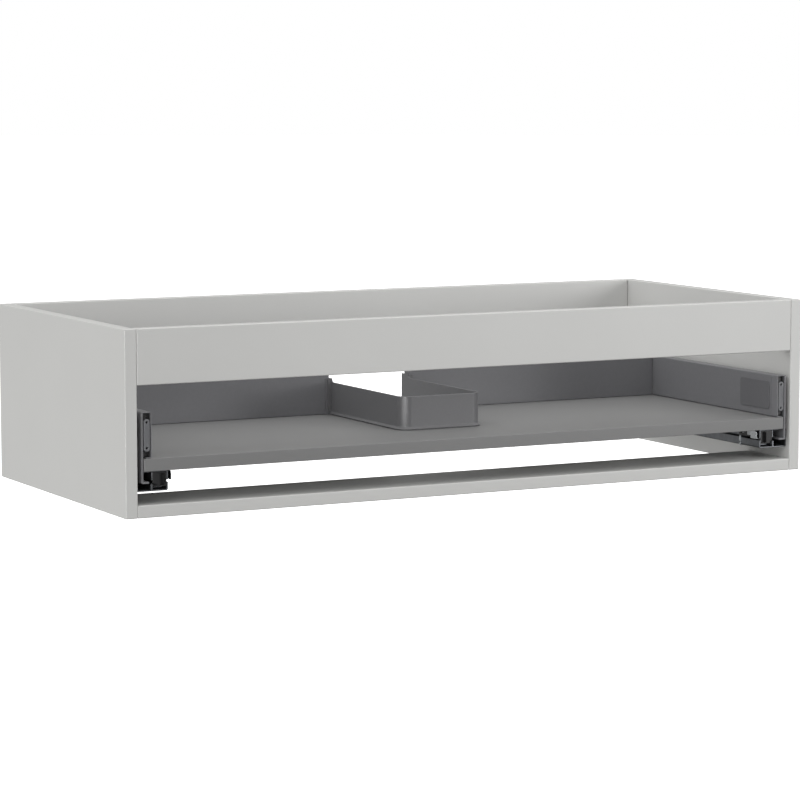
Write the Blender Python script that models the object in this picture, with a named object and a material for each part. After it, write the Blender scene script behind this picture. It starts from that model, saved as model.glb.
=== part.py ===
"""A wall-hung washbasin cabinet with one drawer on a pair of full-extension concealed slides.

Metres, +Z up. The cabinet front faces -Y, and the origin is the middle of the base of the carcass.
Across the cabinet, a piece of the left or right side is placed by its distance from the middle, and
`side` is -1 for the left and +1 for the right. Depths are measured from the carcass front.
"""

import math

import bmesh
import bpy
from mathutils import Matrix, Vector

# ---------------------------------------------------------------- driving dimensions
CABINET_WIDTH = 1.000
CABINET_DEPTH = 0.440
CABINET_HEIGHT = 0.235
BOARD = 0.016                 # chipboard thickness of the carcass and the drawer
BOARD_EDGE = 0.0008           # eased edge of an edge-banded board
FIT_GAP = 0.0003              # clearance between pieces that touch

FRONT_RAIL_HEADROOM = 0.0335  # front rail above the drawer sides
BACK_RAIL_HEADROOM = 0.0035   # back rail above the drawer sides
BOTTOM_RAIL_DEPTH = 0.100

# drawer
DRAWER_SETBACK = 0.002        # drawer front edge behind the carcass front
PLUMBING_SPACE = 0.102        # behind the drawer
DRAWER_FLOOR_Z = 0.0575       # underside of the drawer floor
SIDE_CLEARANCE = 0.006        # carcass side to drawer side
SIDE_THICKNESS = 0.014        # over both walls of the folded drawer side
SIDE_SHEET = 0.0012
SIDE_OUTER = 0.0024           # outer wall and flange, hemmed to a double sheet
SIDE_BEND = 0.0006            # inner radius of the folds
SIDE_RISE = 0.058             # drawer side above the drawer floor
SIDE_DROP = 0.015             # drawer side below the drawer floor's underside
SIDE_FOOT = 0.0065            # outward foot of the inner wall
FLOOR_EDGE_GAP = 0.0011       # drawer floor to the outer wall

# siphon cut-out and its surround
CUTOUT_WIDTH = 0.122
CUTOUT_FRONT = 0.108          # depth of the cut-out's front edge
CUTOUT_CORNER = 0.0155
SURROUND_WALL = 0.002
SURROUND_RISE = 0.044
SURROUND_LIP = 0.003
SURROUND_LIP_HEIGHT = 0.0025
SURROUND_EAR_RISE = 0.005
SURROUND_FLANGE = 0.005       # reach of the flange in front of each channel
SURROUND_EAR_LENGTH = 0.018
EAR_FILLET = 0.006
CLIP_SHEET = 0.0012
CLIP_LEG = 0.006

# front fixing inside the drawer side
BRACKET_HEIGHT = 0.0405
BRACKET_LENGTH = 0.034
BRACKET_SCREW_PITCH = 0.032
BRACKET_SCREW_RADIUS = 0.0014
BRACKET_CORNER = 0.0036
CLAMP_SETBACK = 0.005
CLAMP_LENGTH = 0.072
CLAMP_WALL = 0.0006
CLAMP_SPACE = 0.0003          # clamp to the walls of the drawer side
CAP_FRONT = 0.0185            # cover cap behind the front edge of the drawer side
CAP_LENGTH = 0.071
CAP_HEIGHT = 0.0385
CAP_PROUD = 0.0008
CAP_CORNER = 0.004
WINDOW_MARGIN = 0.006         # cover cap overlap round its window
CAM_RADIUS = 0.005
CAM_LENGTH = 0.0012

# slides
SLIDE_OVERRUN = 0.014         # slide longer than the drawer
SLIDE_SETBACK = 0.0085        # slide front behind the carcass front
SLIDE_WIDTH = 0.044           # carcass side to the slide's inboard face
RAIL_SHEET = 0.0015
RAIL_BASE_Z = 0.0318          # underside of the cabinet rail
RAIL_FLANGE_HEIGHT = 0.0245
RAIL_LIP_HEIGHT = 0.0107
TRACK_WIDTH = 0.0193          # clear width of each ball channel
TRACK_RIB = 0.0024            # folded rib between the ball channel and the damper channel
DRAWER_RAIL_DROP = 0.0117     # depth of the drawer rail's channel walls
BALL_DIAMETER = 0.0029
BALL_PITCH = 0.018
CAGE_LENGTH = 0.110
CAGE_INSET = 0.011            # cage inside the rails' shared length, drawer open
CAGE_SHEET = 0.0010
MIDDLE_SETBACK = 0.008        # middle rail front behind the slide front, closed
MIDDLE_REAR_SETBACK = 0.022
MIDDLE_SHEET = 0.0012
MIDDLE_LIP = 0.0056
BALL_SPACE = 0.0031           # middle rail's lip to the channel wall
SCREW_DEPTHS = (0.037, 0.261)
SCREW_HEIGHT = 0.0165         # screw line above the slide's underside
SCREW_RADIUS = 0.0024
SCREW_LENGTH = 0.0125
SCREW_HEAD_RADIUS = 0.0040
SCREW_HEAD_HEIGHT = 0.0020
SCREW_CLEARANCE = 0.0006

# soft-close unit in the damper channel
TRAY_LENGTH = 0.132
TRAY_REAR_SETBACK = 0.0145    # tray's rear end to the slide's
TRAY_WALL = 0.0010
TRAY_HEIGHT = 0.0062
CATCH_TRAVEL = 0.040
CATCH_LENGTH = 0.010
CATCH_GAP = 0.0004
CYLINDER_RADIUS = 0.0021
CYLINDER_LENGTH = 0.060
CYLINDER_SPACE = 0.006        # shared by the two ends of the cylinder, tray wall included
ROD_RADIUS = 0.0008
ROD_CLEARANCE = 0.0005
SPRING_RADIUS = 0.0019
PIN_WIDTH = 0.0030
PIN_LENGTH = 0.0050
PIN_SPACE = 0.0008            # closing pin to the rib of the cabinet rail
FLANGE_SPACE = 0.0010         # closing pin to the flange of the drawer side

# release latch at the front of the slide
LATCH_SETBACK = 0.0095
LATCH_PLATE_LENGTH = 0.0175
LATCH_REACH = 0.0047          # lever's outer face from the slide's inboard face
LATCH_SHEET = 0.0012
LATCH_HOUSING_LENGTH = 0.026
LATCH_DROP = 0.0120
LATCH_PIVOT_RADIUS = 0.0006
LATCH_PIVOT_SPACE = 0.0002
LATCH_TAIL = 0.0030           # width of the lever round its pivot
LATCH_WELL_WALL = 0.0005
END_CAP_LENGTH = 0.007
END_CAP_LIFT = 0.0042         # plug above the cabinet rail's floor

# wall hangers under the back rail
HANGER_DEPTH = 0.046
HANGER_HEIGHT = 0.060
HANGER_WIDTH = 0.018
HANGER_WALL = 0.002
HANGER_SETBACK = 0.010        # housing back to the carcass back, room for the wall plate
HOOK_SETBACK = 0.0015         # hook claw to the carcass back
HOOK_SHEET = 0.0025
HOOK_WIDTH = 0.010
HOOK_DROP = 0.022
HOOK_SPACE = 0.0005           # hook to the slot it slides in, each side
HOOK_TRAVEL = 0.005           # height adjustment each way

# ---------------------------------------------------------------- derived positions
FRONT_Y = -CABINET_DEPTH / 2
BACK_Y = CABINET_DEPTH / 2
CARCASS_HALF = CABINET_WIDTH / 2
INNER_HALF = CARCASS_HALF - BOARD
DRAWER_FRONT_Y = FRONT_Y + DRAWER_SETBACK
DRAWER_BACK_Y = BACK_Y - PLUMBING_SPACE
DRAWER_LENGTH = DRAWER_BACK_Y - DRAWER_FRONT_Y
BACK_PANEL_Y = DRAWER_BACK_Y - BOARD
FLOOR_TOP_Z = DRAWER_FLOOR_Z + BOARD
SIDE_TOP_Z = FLOOR_TOP_Z + SIDE_RISE
SIDE_FOOT_Z = DRAWER_FLOOR_Z - SIDE_DROP
FRONT_RAIL_Z = SIDE_TOP_Z + FRONT_RAIL_HEADROOM
BACK_RAIL_Z = SIDE_TOP_Z + BACK_RAIL_HEADROOM
OUTER_WALL = INNER_HALF - SIDE_CLEARANCE
INNER_WALL = OUTER_WALL - SIDE_THICKNESS
CAVITY_OUT = OUTER_WALL - SIDE_OUTER
CAVITY_IN = INNER_WALL + SIDE_SHEET
CAVITY_MIDDLE = (CAVITY_OUT + CAVITY_IN) / 2
FLOOR_HALF = CAVITY_OUT - FLOOR_EDGE_GAP
CLAMP_WIDTH = CAVITY_OUT - CAVITY_IN - 2 * CLAMP_SPACE
BRACKET_WIDTH = CLAMP_WIDTH - 2 * (CLAMP_WALL + FIT_GAP)
SLIDE_FRONT_Y = FRONT_Y + SLIDE_SETBACK
SLIDE_LENGTH = DRAWER_LENGTH + SLIDE_OVERRUN
SLIDE_TRAVEL = SLIDE_LENGTH
SLIDE_INBOARD = INNER_HALF - SLIDE_WIDTH
CHANNEL_IN = SLIDE_INBOARD + RAIL_SHEET
CHANNEL_OUT = CHANNEL_IN + TRACK_WIDTH
CHANNEL_MIDDLE = (CHANNEL_IN + CHANNEL_OUT) / 2
RIB_OUT = CHANNEL_OUT + TRACK_RIB
PIN_IN = RIB_OUT + PIN_SPACE
SIDE_FLANGE_IN = PIN_IN + PIN_WIDTH + FLANGE_SPACE
RAIL_FLOOR_Z = RAIL_BASE_Z + RAIL_SHEET
DRAWER_RAIL_TOP_Z = DRAWER_FLOOR_Z - FIT_GAP
DRAWER_RAIL_ROOF_Z = DRAWER_RAIL_TOP_Z - RAIL_SHEET
MIDDLE_BASE_Z = RAIL_FLOOR_Z + CAGE_SHEET + 0.0008
MIDDLE_TOP_Z = DRAWER_RAIL_ROOF_Z - CAGE_SHEET - 0.0008
MIDDLE_HALF = TRACK_WIDTH / 2 - BALL_SPACE
TRAY_BACK_Y = SLIDE_FRONT_Y + SLIDE_LENGTH - TRAY_REAR_SETBACK
TRAY_FRONT_Y = TRAY_BACK_Y - TRAY_LENGTH
TRAY_TOP_Z = RAIL_FLOOR_Z + TRAY_HEIGHT
CATCH_BACK_Y = TRAY_BACK_Y - CYLINDER_LENGTH - CYLINDER_SPACE
CATCH_TOP_Z = TRAY_TOP_Z - 0.0002
SCREW_Z = RAIL_BASE_Z + SCREW_HEIGHT

SIDES = (("left", -1), ("right", 1))
MATERIALS = {}


# ---------------------------------------------------------------- scene and materials
def clear_scene():
    for old in list(bpy.data.objects):
        bpy.data.objects.remove(old, do_unlink=True)


def material(name, colour, roughness, metallic=0.0):
    made = bpy.data.materials.new(name)
    made.use_nodes = True
    shader = made.node_tree.nodes["Principled BSDF"]
    shader.inputs["Base Color"].default_value = (*colour, 1.0)
    shader.inputs["Roughness"].default_value = roughness
    shader.inputs["Metallic"].default_value = metallic
    MATERIALS[name] = made


def make_materials():
    material("carcass_laminate", (0.50, 0.50, 0.49), 0.45)
    material("drawer_laminate", (0.20, 0.20, 0.20), 0.50)
    material("drawer_steel", (0.12, 0.12, 0.125), 0.40, 0.3)
    material("galvanised_steel", (0.35, 0.36, 0.37), 0.35, 0.9)
    material("black_plastic", (0.02, 0.02, 0.021), 0.50)
    material("grey_plastic", (0.13, 0.13, 0.135), 0.50)
    material("bright_steel", (0.60, 0.61, 0.62), 0.25, 1.0)


# ---------------------------------------------------------------- shapes
def finish(name, shape, finish_name):
    """The bmesh as a linked object with its faces pointing out."""
    bmesh.ops.recalc_face_normals(shape, faces=shape.faces)
    mesh = bpy.data.meshes.new(name)
    shape.to_mesh(mesh)
    shape.free()
    made = bpy.data.objects.new(name, mesh)
    bpy.context.scene.collection.objects.link(made)
    made.data.materials.append(MATERIALS[finish_name])
    return made


def prism(name, outline, axis, start, end, finish_name):
    """An outline swept along an axis. It holds (x, z) for Y, (y, z) for X and (x, y) for Z."""
    place = {
        "X": lambda a, b, along: (along, a, b),
        "Y": lambda a, b, along: (a, along, b),
        "Z": lambda a, b, along: (a, b, along),
    }[axis]
    shape = bmesh.new()
    ring = [shape.verts.new(place(a, b, start)) for a, b in outline]
    face = shape.faces.new(ring)
    swept = bmesh.ops.extrude_face_region(shape, geom=[face])
    moved = [v for v in swept["geom"] if isinstance(v, bmesh.types.BMVert)]
    bmesh.ops.translate(shape, vec=Vector(place(0, 0, end - start)), verts=moved)
    return finish(name, shape, finish_name)


def box(name, low, high, finish_name):
    (x0, y0, z0), (x1, y1, z1) = low, high
    x0, x1 = sorted((x0, x1))
    return prism(name, [(x0, z0), (x1, z0), (x1, z1), (x0, z1)], "Y", y0, y1, finish_name)


def arc(centre, radius, start, end, steps):
    """Points along an arc between two angles in degrees."""
    angles = [math.radians(start + (end - start) * k / steps) for k in range(steps + 1)]
    return [(centre[0] + radius * math.cos(a), centre[1] + radius * math.sin(a)) for a in angles]


def circle(centre, radius, steps):
    return arc(centre, radius, 0, 360, steps)[:-1]


def rounded_rectangle(low, high, radius, steps=3):
    (a0, b0), (a1, b1) = low, high
    corners = ((a1, b0, -90), (a1, b1, 0), (a0, b1, 90), (a0, b0, 180))
    points = []
    for a, b, angle in corners:
        centre = (
            a - radius if a == a1 else a + radius,
            b - radius if b == b1 else b + radius,
        )
        points += arc(centre, radius, angle, angle + 90, steps)
    return points


def rounded_outline(corners, steps=3):
    """An outline through (a, b, radius) corners, each turned on an arc of its radius."""
    points = []
    for here, (a, b, radius) in enumerate(corners):
        corner = Vector((a, b))
        if not radius:
            points.append(tuple(corner))
            continue
        back = (Vector(corners[here - 1][:2]) - corner).normalized()
        on = (Vector(corners[(here + 1) % len(corners)][:2]) - corner).normalized()
        half = back.angle(on) / 2
        centre = corner + (back + on).normalized() * radius / math.sin(half)
        first = corner + back * radius / math.tan(half) - centre
        last = corner + on * radius / math.tan(half) - centre
        turn = first.angle_signed(last)
        for k in range(steps + 1):
            points.append(tuple(centre + Matrix.Rotation(-turn * k / steps, 2) @ first))
    return points


def bent_sheet(path, sheet, bend, steps=2):
    """The outline of a sheet folded along a centreline, its bends rounded to an inner radius."""
    points = [Vector(p) for p in path]
    middle = bend + sheet / 2
    samples = []
    for here, (before, after) in enumerate(zip(points, points[1:])):
        along = (after - before).normalized()
        across = Vector((-along.y, along.x))
        if here == 0:
            samples.append((before, across))
        if here == len(points) - 2:
            samples.append((after, across))
            continue
        turned = (points[here + 2] - after).normalized()
        angle = along.angle_signed(turned)
        reach = middle * math.tan(abs(angle) / 2)
        way = -1.0 if angle > 0 else 1.0
        centre = after - along * reach + across * middle * way
        for k in range(steps + 1):
            normal = Matrix.Rotation(-angle * k / steps, 2) @ across
            samples.append((centre - normal * middle * way, normal))
    one_side = [tuple(point + normal * sheet / 2) for point, normal in samples]
    other_side = [tuple(point - normal * sheet / 2) for point, normal in samples]
    return one_side + other_side[::-1]


def mirrored(side, outline):
    """An outline whose first figure is a distance from the middle, on one side of the cabinet."""
    return [(side * a, b) for a, b in outline]


def apply_boolean(target, other, operation="DIFFERENCE"):
    modifier = target.modifiers.new(operation.lower(), "BOOLEAN")
    modifier.object = other
    modifier.operation = operation
    other.hide_render = True
    other.display_type = "WIRE"


def ease_edges(target, width=BOARD_EDGE, segments=1):
    modifier = target.modifiers.new("eased_edges", "BEVEL")
    modifier.width = width
    modifier.segments = segments
    modifier.limit_method = "ANGLE"
    modifier.angle_limit = math.radians(40)


def round_along_y(name, across, z, radius, y0, y1, finish_name, steps=12):
    return prism(name, circle((across, z), radius, steps), "Y", y0, y1, finish_name)


# ---------------------------------------------------------------- carcass
def side_panel(name, side):
    made = box(
        f"{name}_side_panel",
        (side * INNER_HALF, FRONT_Y, 0),
        (side * CARCASS_HALF, BACK_Y, CABINET_HEIGHT),
        "carcass_laminate",
    )
    ease_edges(made)
    start = side * (INNER_HALF - SCREW_LENGTH)
    end = side * (INNER_HALF + SCREW_LENGTH)
    for number, depth in enumerate(SCREW_DEPTHS):
        outline = circle((FRONT_Y + depth, SCREW_Z), SCREW_RADIUS + SCREW_CLEARANCE / 2, 12)
        hole = prism(f"cut_{name}_panel_{number}", outline, "X", start, end, "carcass_laminate")
        apply_boolean(made, hole)


def cross_rail(name, y0, y1, z0, z1):
    reach = INNER_HALF - FIT_GAP
    made = box(name, (-reach, y0, z0), (reach, y1, z1), "carcass_laminate")
    ease_edges(made)


def carcass():
    for name, side in SIDES:
        side_panel(name, side)
    top = CABINET_HEIGHT
    cross_rail("front_top_rail", FRONT_Y, FRONT_Y + BOARD, FRONT_RAIL_Z, top)
    cross_rail("back_top_rail", BACK_Y - BOARD, BACK_Y, BACK_RAIL_Z, top)
    cross_rail("front_bottom_rail", FRONT_Y, FRONT_Y + BOTTOM_RAIL_DEPTH, 0, BOARD)


def wall_hanger(name, side):
    """A hanger housing on the carcass side, with the hook that drops over the wall plate."""
    top = BACK_RAIL_Z - FIT_GAP
    back = BACK_Y - HANGER_SETBACK
    front = back - HANGER_DEPTH
    outer = INNER_HALF - FIT_GAP
    inner = outer - HANGER_WIDTH
    housing = box(
        f"hanger_housing_{name}",
        (side * inner, front, top - HANGER_HEIGHT),
        (side * outer, back, top),
        "grey_plastic",
    )
    middle = (inner + outer) / 2
    slot_high = top - HANGER_WALL
    arm_z = slot_high - HOOK_SPACE - HOOK_TRAVEL - HOOK_SHEET / 2
    slot_low = arm_z - HOOK_SHEET / 2 - HOOK_TRAVEL - HOOK_SPACE
    slot_half = HOOK_WIDTH / 2 + HOOK_SPACE
    slot = box(
        f"cut_hanger_{name}",
        (side * (middle - slot_half), front + HANGER_WALL, slot_low),
        (side * (middle + slot_half), back + HANGER_WALL, slot_high),
        "grey_plastic",
    )
    apply_boolean(housing, slot)
    arm_start = front + HANGER_WALL + HOOK_SPACE
    claw = BACK_Y - HOOK_SETBACK - HOOK_SHEET / 2
    outline = bent_sheet(
        [(arm_start, arm_z), (claw, arm_z), (claw, arm_z - HOOK_DROP)], HOOK_SHEET, 0.002
    )
    start = side * (middle - HOOK_WIDTH / 2)
    end = side * (middle + HOOK_WIDTH / 2)
    prism(f"hanger_hook_{name}", outline, "X", start, end, "bright_steel")


# ---------------------------------------------------------------- drawer
def drawer_floor():
    half = CUTOUT_WIDTH / 2 + FIT_GAP
    front = FRONT_Y + CUTOUT_FRONT
    radius = CUTOUT_CORNER
    notch = arc((half - radius, front + radius), radius, 0, -90, 4)
    notch += arc((-half + radius, front + radius), radius, -90, -180, 4)
    outline = [(-FLOOR_HALF, DRAWER_FRONT_Y), (FLOOR_HALF, DRAWER_FRONT_Y)]
    outline += [(FLOOR_HALF, DRAWER_BACK_Y), (half, DRAWER_BACK_Y)]
    outline += notch
    outline += [(-half, DRAWER_BACK_Y), (-FLOOR_HALF, DRAWER_BACK_Y)]
    made = prism("drawer_floor", outline, "Z", DRAWER_FLOOR_Z, FLOOR_TOP_Z, "drawer_laminate")
    ease_edges(made, 0.0005)


def siphon_surround():
    """The moulded surround of the cut-out: a wall in the cut-out, a lip on the floor, two ears."""
    outer = CUTOUT_WIDTH / 2 - FIT_GAP
    middle = outer - SURROUND_WALL / 2
    front = FRONT_Y + CUTOUT_FRONT + 2 * FIT_GAP + SURROUND_WALL / 2
    back = DRAWER_BACK_Y
    bend = CUTOUT_CORNER - SURROUND_WALL - FIT_GAP
    wall_path = [(-middle, back), (-middle, front), (middle, front), (middle, back)]
    top = FLOOR_TOP_Z + SURROUND_RISE
    wall = prism(
        "siphon_surround",
        bent_sheet(wall_path, SURROUND_WALL, bend, steps=5),
        "Z", DRAWER_FLOOR_Z, top, "drawer_steel",
    )
    lip_middle = outer + (SURROUND_LIP - SURROUND_WALL / 2) / 2
    lip_front = front - SURROUND_WALL / 2 - (SURROUND_LIP - SURROUND_WALL / 2) / 2
    lip_back = BACK_PANEL_Y - CLIP_SHEET - 2 * FIT_GAP
    lip_path = [
        (-lip_middle, lip_back), (-lip_middle, lip_front),
        (lip_middle, lip_front), (lip_middle, lip_back),
    ]
    lip = prism(
        "join_lip",
        bent_sheet(lip_path, SURROUND_LIP + SURROUND_WALL / 2, bend + SURROUND_WALL / 2, steps=5),
        "Z", FLOOR_TOP_Z + FIT_GAP, FLOOR_TOP_Z + FIT_GAP + SURROUND_LIP_HEIGHT, "drawer_steel",
    )
    apply_boolean(wall, lip, "UNION")
    start = back - SURROUND_EAR_LENGTH
    ear = [(back, top - 0.004), (back, top + SURROUND_EAR_RISE)]
    ear += [(start, top + SURROUND_EAR_RISE)]
    ear += arc((start - EAR_FILLET, top + EAR_FILLET), EAR_FILLET, 0, -90, 4)
    ear += [(start - EAR_FILLET, top - 0.004)]
    for name, side in SIDES:
        ear_name = f"join_ear_{name}"
        start_x, end_x = side * (outer - SURROUND_WALL), side * outer
        apply_boolean(wall, prism(ear_name, ear, "X", start_x, end_x, "drawer_steel"), "UNION")
        flange = box(
            f"join_flange_{name}",
            (side * (outer - SURROUND_WALL / 2), lip_back - SURROUND_WALL, FLOOR_TOP_Z + FIT_GAP),
            (side * (outer + SURROUND_FLANGE), lip_back, top + SURROUND_EAR_RISE),
            "drawer_steel",
        )
        apply_boolean(wall, flange, "UNION")


def back_panel(name, side):
    """Half of the drawer back, and the channel that caps its end beside the cut-out."""
    near = CUTOUT_WIDTH / 2 + CLIP_SHEET + 2 * FIT_GAP
    made = box(
        f"back_panel_{name}",
        (side * near, BACK_PANEL_Y, FLOOR_TOP_Z + FIT_GAP),
        (side * (INNER_WALL - FIT_GAP), DRAWER_BACK_Y, SIDE_TOP_Z),
        "drawer_steel",
    )
    ease_edges(made, 0.0005)
    end = near - FIT_GAP - CLIP_SHEET / 2
    front = BACK_PANEL_Y - FIT_GAP - CLIP_SHEET / 2
    back = DRAWER_BACK_Y + FIT_GAP + CLIP_SHEET / 2
    path = [(near + CLIP_LEG, front), (end, front), (end, back), (near + CLIP_LEG, back)]
    outline = mirrored(side, bent_sheet(path, CLIP_SHEET, 0.0003, steps=1))
    top = FLOOR_TOP_Z + SURROUND_RISE + SURROUND_EAR_RISE
    prism(f"surround_clip_{name}", outline, "Z", FLOOR_TOP_Z + FIT_GAP, top, "drawer_steel")


def drawer_side(name, side):
    """The folded steel side: flange, outer wall, top, inner wall and foot from one sheet."""
    foot = FLOOR_TOP_Z + FIT_GAP
    foot_end = CAVITY_IN + SIDE_FOOT
    inside, outside = SIDE_BEND, SIDE_BEND + SIDE_SHEET
    outline = rounded_outline([
        (SIDE_FLANGE_IN, SIDE_FOOT_Z, inside),
        (OUTER_WALL, SIDE_FOOT_Z, outside),
        (OUTER_WALL, SIDE_TOP_Z, outside),
        (INNER_WALL, SIDE_TOP_Z, outside),
        (INNER_WALL, foot, outside),
        (foot_end, foot, 0),
        (foot_end, foot + SIDE_SHEET, 0),
        (CAVITY_IN, foot + SIDE_SHEET, inside),
        (CAVITY_IN, SIDE_TOP_Z - SIDE_SHEET, inside),
        (CAVITY_OUT, SIDE_TOP_Z - SIDE_SHEET, inside),
        (CAVITY_OUT, SIDE_FOOT_Z + SIDE_OUTER, inside),
        (SIDE_FLANGE_IN, SIDE_FOOT_Z + SIDE_OUTER, inside),
    ])
    outline = mirrored(side, outline)
    made = prism(
        f"drawer_side_{name}", outline, "Y", DRAWER_FRONT_Y, DRAWER_BACK_Y, "drawer_steel"
    )
    (y0, z0), (y1, z1) = cap_corners(WINDOW_MARGIN)
    window = rounded_rectangle((y0, z0), (y1, z1), 0.002, 2)
    start, end = side * (INNER_WALL - 0.004), side * (INNER_WALL + 0.004)
    apply_boolean(made, prism(f"cut_window_{name}", window, "X", start, end, "drawer_steel"))


def cap_corners(margin=0.0):
    """Opposite corners (y, z) of the cover cap, or of a rectangle that much inside it."""
    y0 = DRAWER_FRONT_Y + CAP_FRONT
    middle = (FLOOR_TOP_Z + SIDE_TOP_Z) / 2
    return (
        (y0 + margin, middle - CAP_HEIGHT / 2 + margin),
        (y0 + CAP_LENGTH - margin, middle + CAP_HEIGHT / 2 - margin),
    )


def cover_cap(name, side):
    """The snap-on cap over the adjusters: a plate inside the drawer and a plug in the window."""
    low, high = cap_corners()
    plate_back = INNER_WALL - FIT_GAP
    plate = prism(
        f"cover_cap_{name}",
        rounded_rectangle(low, high, CAP_CORNER),
        "X", side * (plate_back - CAP_PROUD), side * plate_back, "grey_plastic",
    )
    low, high = cap_corners(WINDOW_MARGIN + 0.0005)
    plug = prism(
        f"join_plug_{name}",
        rounded_rectangle(low, high, 0.002, 2),
        "X", side * (plate_back - CAP_PROUD / 2), side * CAVITY_IN, "grey_plastic",
    )
    apply_boolean(plate, plug, "UNION")


def front_fixing(name, side):
    """The drawer front's bracket, held in a plastic clamp inside the drawer side, and its cam."""
    middle_z = (FLOOR_TOP_Z + SIDE_TOP_Z) / 2
    corner = min(BRACKET_CORNER, 0.45 * BRACKET_WIDTH)
    low = (CAVITY_MIDDLE - BRACKET_WIDTH / 2, middle_z - BRACKET_HEIGHT / 2)
    high = (CAVITY_MIDDLE + BRACKET_WIDTH / 2, middle_z + BRACKET_HEIGHT / 2)
    bracket = prism(
        f"front_bracket_{name}",
        mirrored(side, rounded_rectangle(low, high, corner)),
        "Y", DRAWER_FRONT_Y, DRAWER_FRONT_Y + BRACKET_LENGTH, "grey_plastic",
    )
    for number, up in enumerate((-0.5, 0.5)):
        hole = round_along_y(
            f"cut_bracket_{name}_{number}",
            side * CAVITY_MIDDLE, middle_z + up * BRACKET_SCREW_PITCH, BRACKET_SCREW_RADIUS,
            DRAWER_FRONT_Y - 0.005, DRAWER_FRONT_Y + 0.012, "grey_plastic",
        )
        apply_boolean(bracket, hole)
    clamp_low = (CAVITY_MIDDLE - CLAMP_WIDTH / 2, FLOOR_TOP_Z + 2 * SIDE_SHEET)
    clamp_high = (CAVITY_MIDDLE + CLAMP_WIDTH / 2, SIDE_TOP_Z - 2 * SIDE_SHEET)
    start = DRAWER_FRONT_Y + CLAMP_SETBACK
    clamp = prism(
        f"bracket_clamp_{name}",
        mirrored(side, rounded_rectangle(clamp_low, clamp_high, 0.001, 2)),
        "Y", start, start + CLAMP_LENGTH, "black_plastic",
    )
    socket_low = (low[0] - FIT_GAP, low[1] - FIT_GAP)
    socket_high = (high[0] + FIT_GAP, high[1] + FIT_GAP)
    socket = prism(
        f"cut_socket_{name}",
        mirrored(side, rounded_rectangle(socket_low, socket_high, corner)),
        "Y", start - 0.005, DRAWER_FRONT_Y + BRACKET_LENGTH + FIT_GAP, "black_plastic",
    )
    apply_boolean(clamp, socket)
    cam_centre = (start + CLAMP_LENGTH - 0.014, middle_z)
    seat = clamp_low[0]
    cam_seat = prism(
        f"cut_cam_{name}",
        circle(cam_centre, CAM_RADIUS + FIT_GAP, 16),
        "X", side * (seat - 0.005), side * (seat + CAM_LENGTH + FIT_GAP), "black_plastic",
    )
    apply_boolean(clamp, cam_seat)
    cam = prism(
        f"front_lock_cam_{name}",
        circle(cam_centre, CAM_RADIUS, 16),
        "X", side * seat, side * (seat + CAM_LENGTH), "bright_steel",
    )
    slot = box(
        f"cut_cam_slot_{name}",
        (side * (seat - 0.005), cam_centre[0] - 0.003, middle_z - 0.0005),
        (side * (seat + 0.0006), cam_centre[0] + 0.003, middle_z + 0.0005),
        "bright_steel",
    )
    apply_boolean(cam, slot)


def back_bracket(name, side):
    """The angle that ties the drawer side to the drawer back."""
    behind = DRAWER_BACK_Y + FIT_GAP + 0.0006
    path = [(INNER_WALL - 0.030, behind), (CAVITY_MIDDLE, behind)]
    path.append((CAVITY_MIDDLE, DRAWER_BACK_Y - 0.030))
    outline = mirrored(side, bent_sheet(path, 0.0012, 0.001))
    low, high = FLOOR_TOP_Z + 0.006, SIDE_TOP_Z - 0.006
    prism(f"back_bracket_{name}", outline, "Z", low, high, "galvanised_steel")


# ---------------------------------------------------------------- slides
def cabinet_rail(name, side):
    """The fixed rail: mounting flange, floor, rib and inboard lip as one section."""
    outer = INNER_HALF - FIT_GAP
    base, floor = RAIL_BASE_Z, RAIL_FLOOR_Z
    lip, flange = base + RAIL_LIP_HEIGHT, base + RAIL_FLANGE_HEIGHT
    outline = [
        (SLIDE_INBOARD, base), (outer, base), (outer, flange),
        (outer - RAIL_SHEET, flange), (outer - RAIL_SHEET, floor), (RIB_OUT, floor),
        (RIB_OUT, lip - RAIL_SHEET), (CHANNEL_OUT, lip - RAIL_SHEET), (CHANNEL_OUT, floor),
        (CHANNEL_IN, floor), (CHANNEL_IN, lip), (SLIDE_INBOARD, lip),
    ]
    made = prism(
        f"cabinet_rail_{name}", mirrored(side, outline), "Y",
        SLIDE_FRONT_Y, SLIDE_FRONT_Y + SLIDE_LENGTH, "galvanised_steel",
    )
    for number, depth in enumerate(SCREW_DEPTHS):
        hole = prism(
            f"cut_rail_{name}_{number}",
            circle((FRONT_Y + depth, SCREW_Z), SCREW_RADIUS + SCREW_CLEARANCE, 12),
            "X", side * (outer - 0.006), side * (outer + 0.006), "galvanised_steel",
        )
        apply_boolean(made, hole)


def rail_screw(name, side, number, depth):
    """A pan-head screw through the mounting flange into the carcass side."""
    centre = (FRONT_Y + depth, SCREW_Z)
    face = INNER_HALF - FIT_GAP - RAIL_SHEET - FIT_GAP
    place = ("front", "rear")[number]
    head = prism(
        f"rail_screw_{name}_{place}",
        circle(centre, SCREW_HEAD_RADIUS, 12),
        "X", side * (face - SCREW_HEAD_HEIGHT), side * face, "bright_steel",
    )
    shank = prism(
        f"join_shank_{name}_{place}",
        circle(centre, SCREW_RADIUS, 12),
        "X", side * (face - SCREW_HEAD_HEIGHT / 2), side * (INNER_HALF + SCREW_LENGTH - 0.001),
        "bright_steel",
    )
    apply_boolean(head, shank, "UNION")


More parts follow.
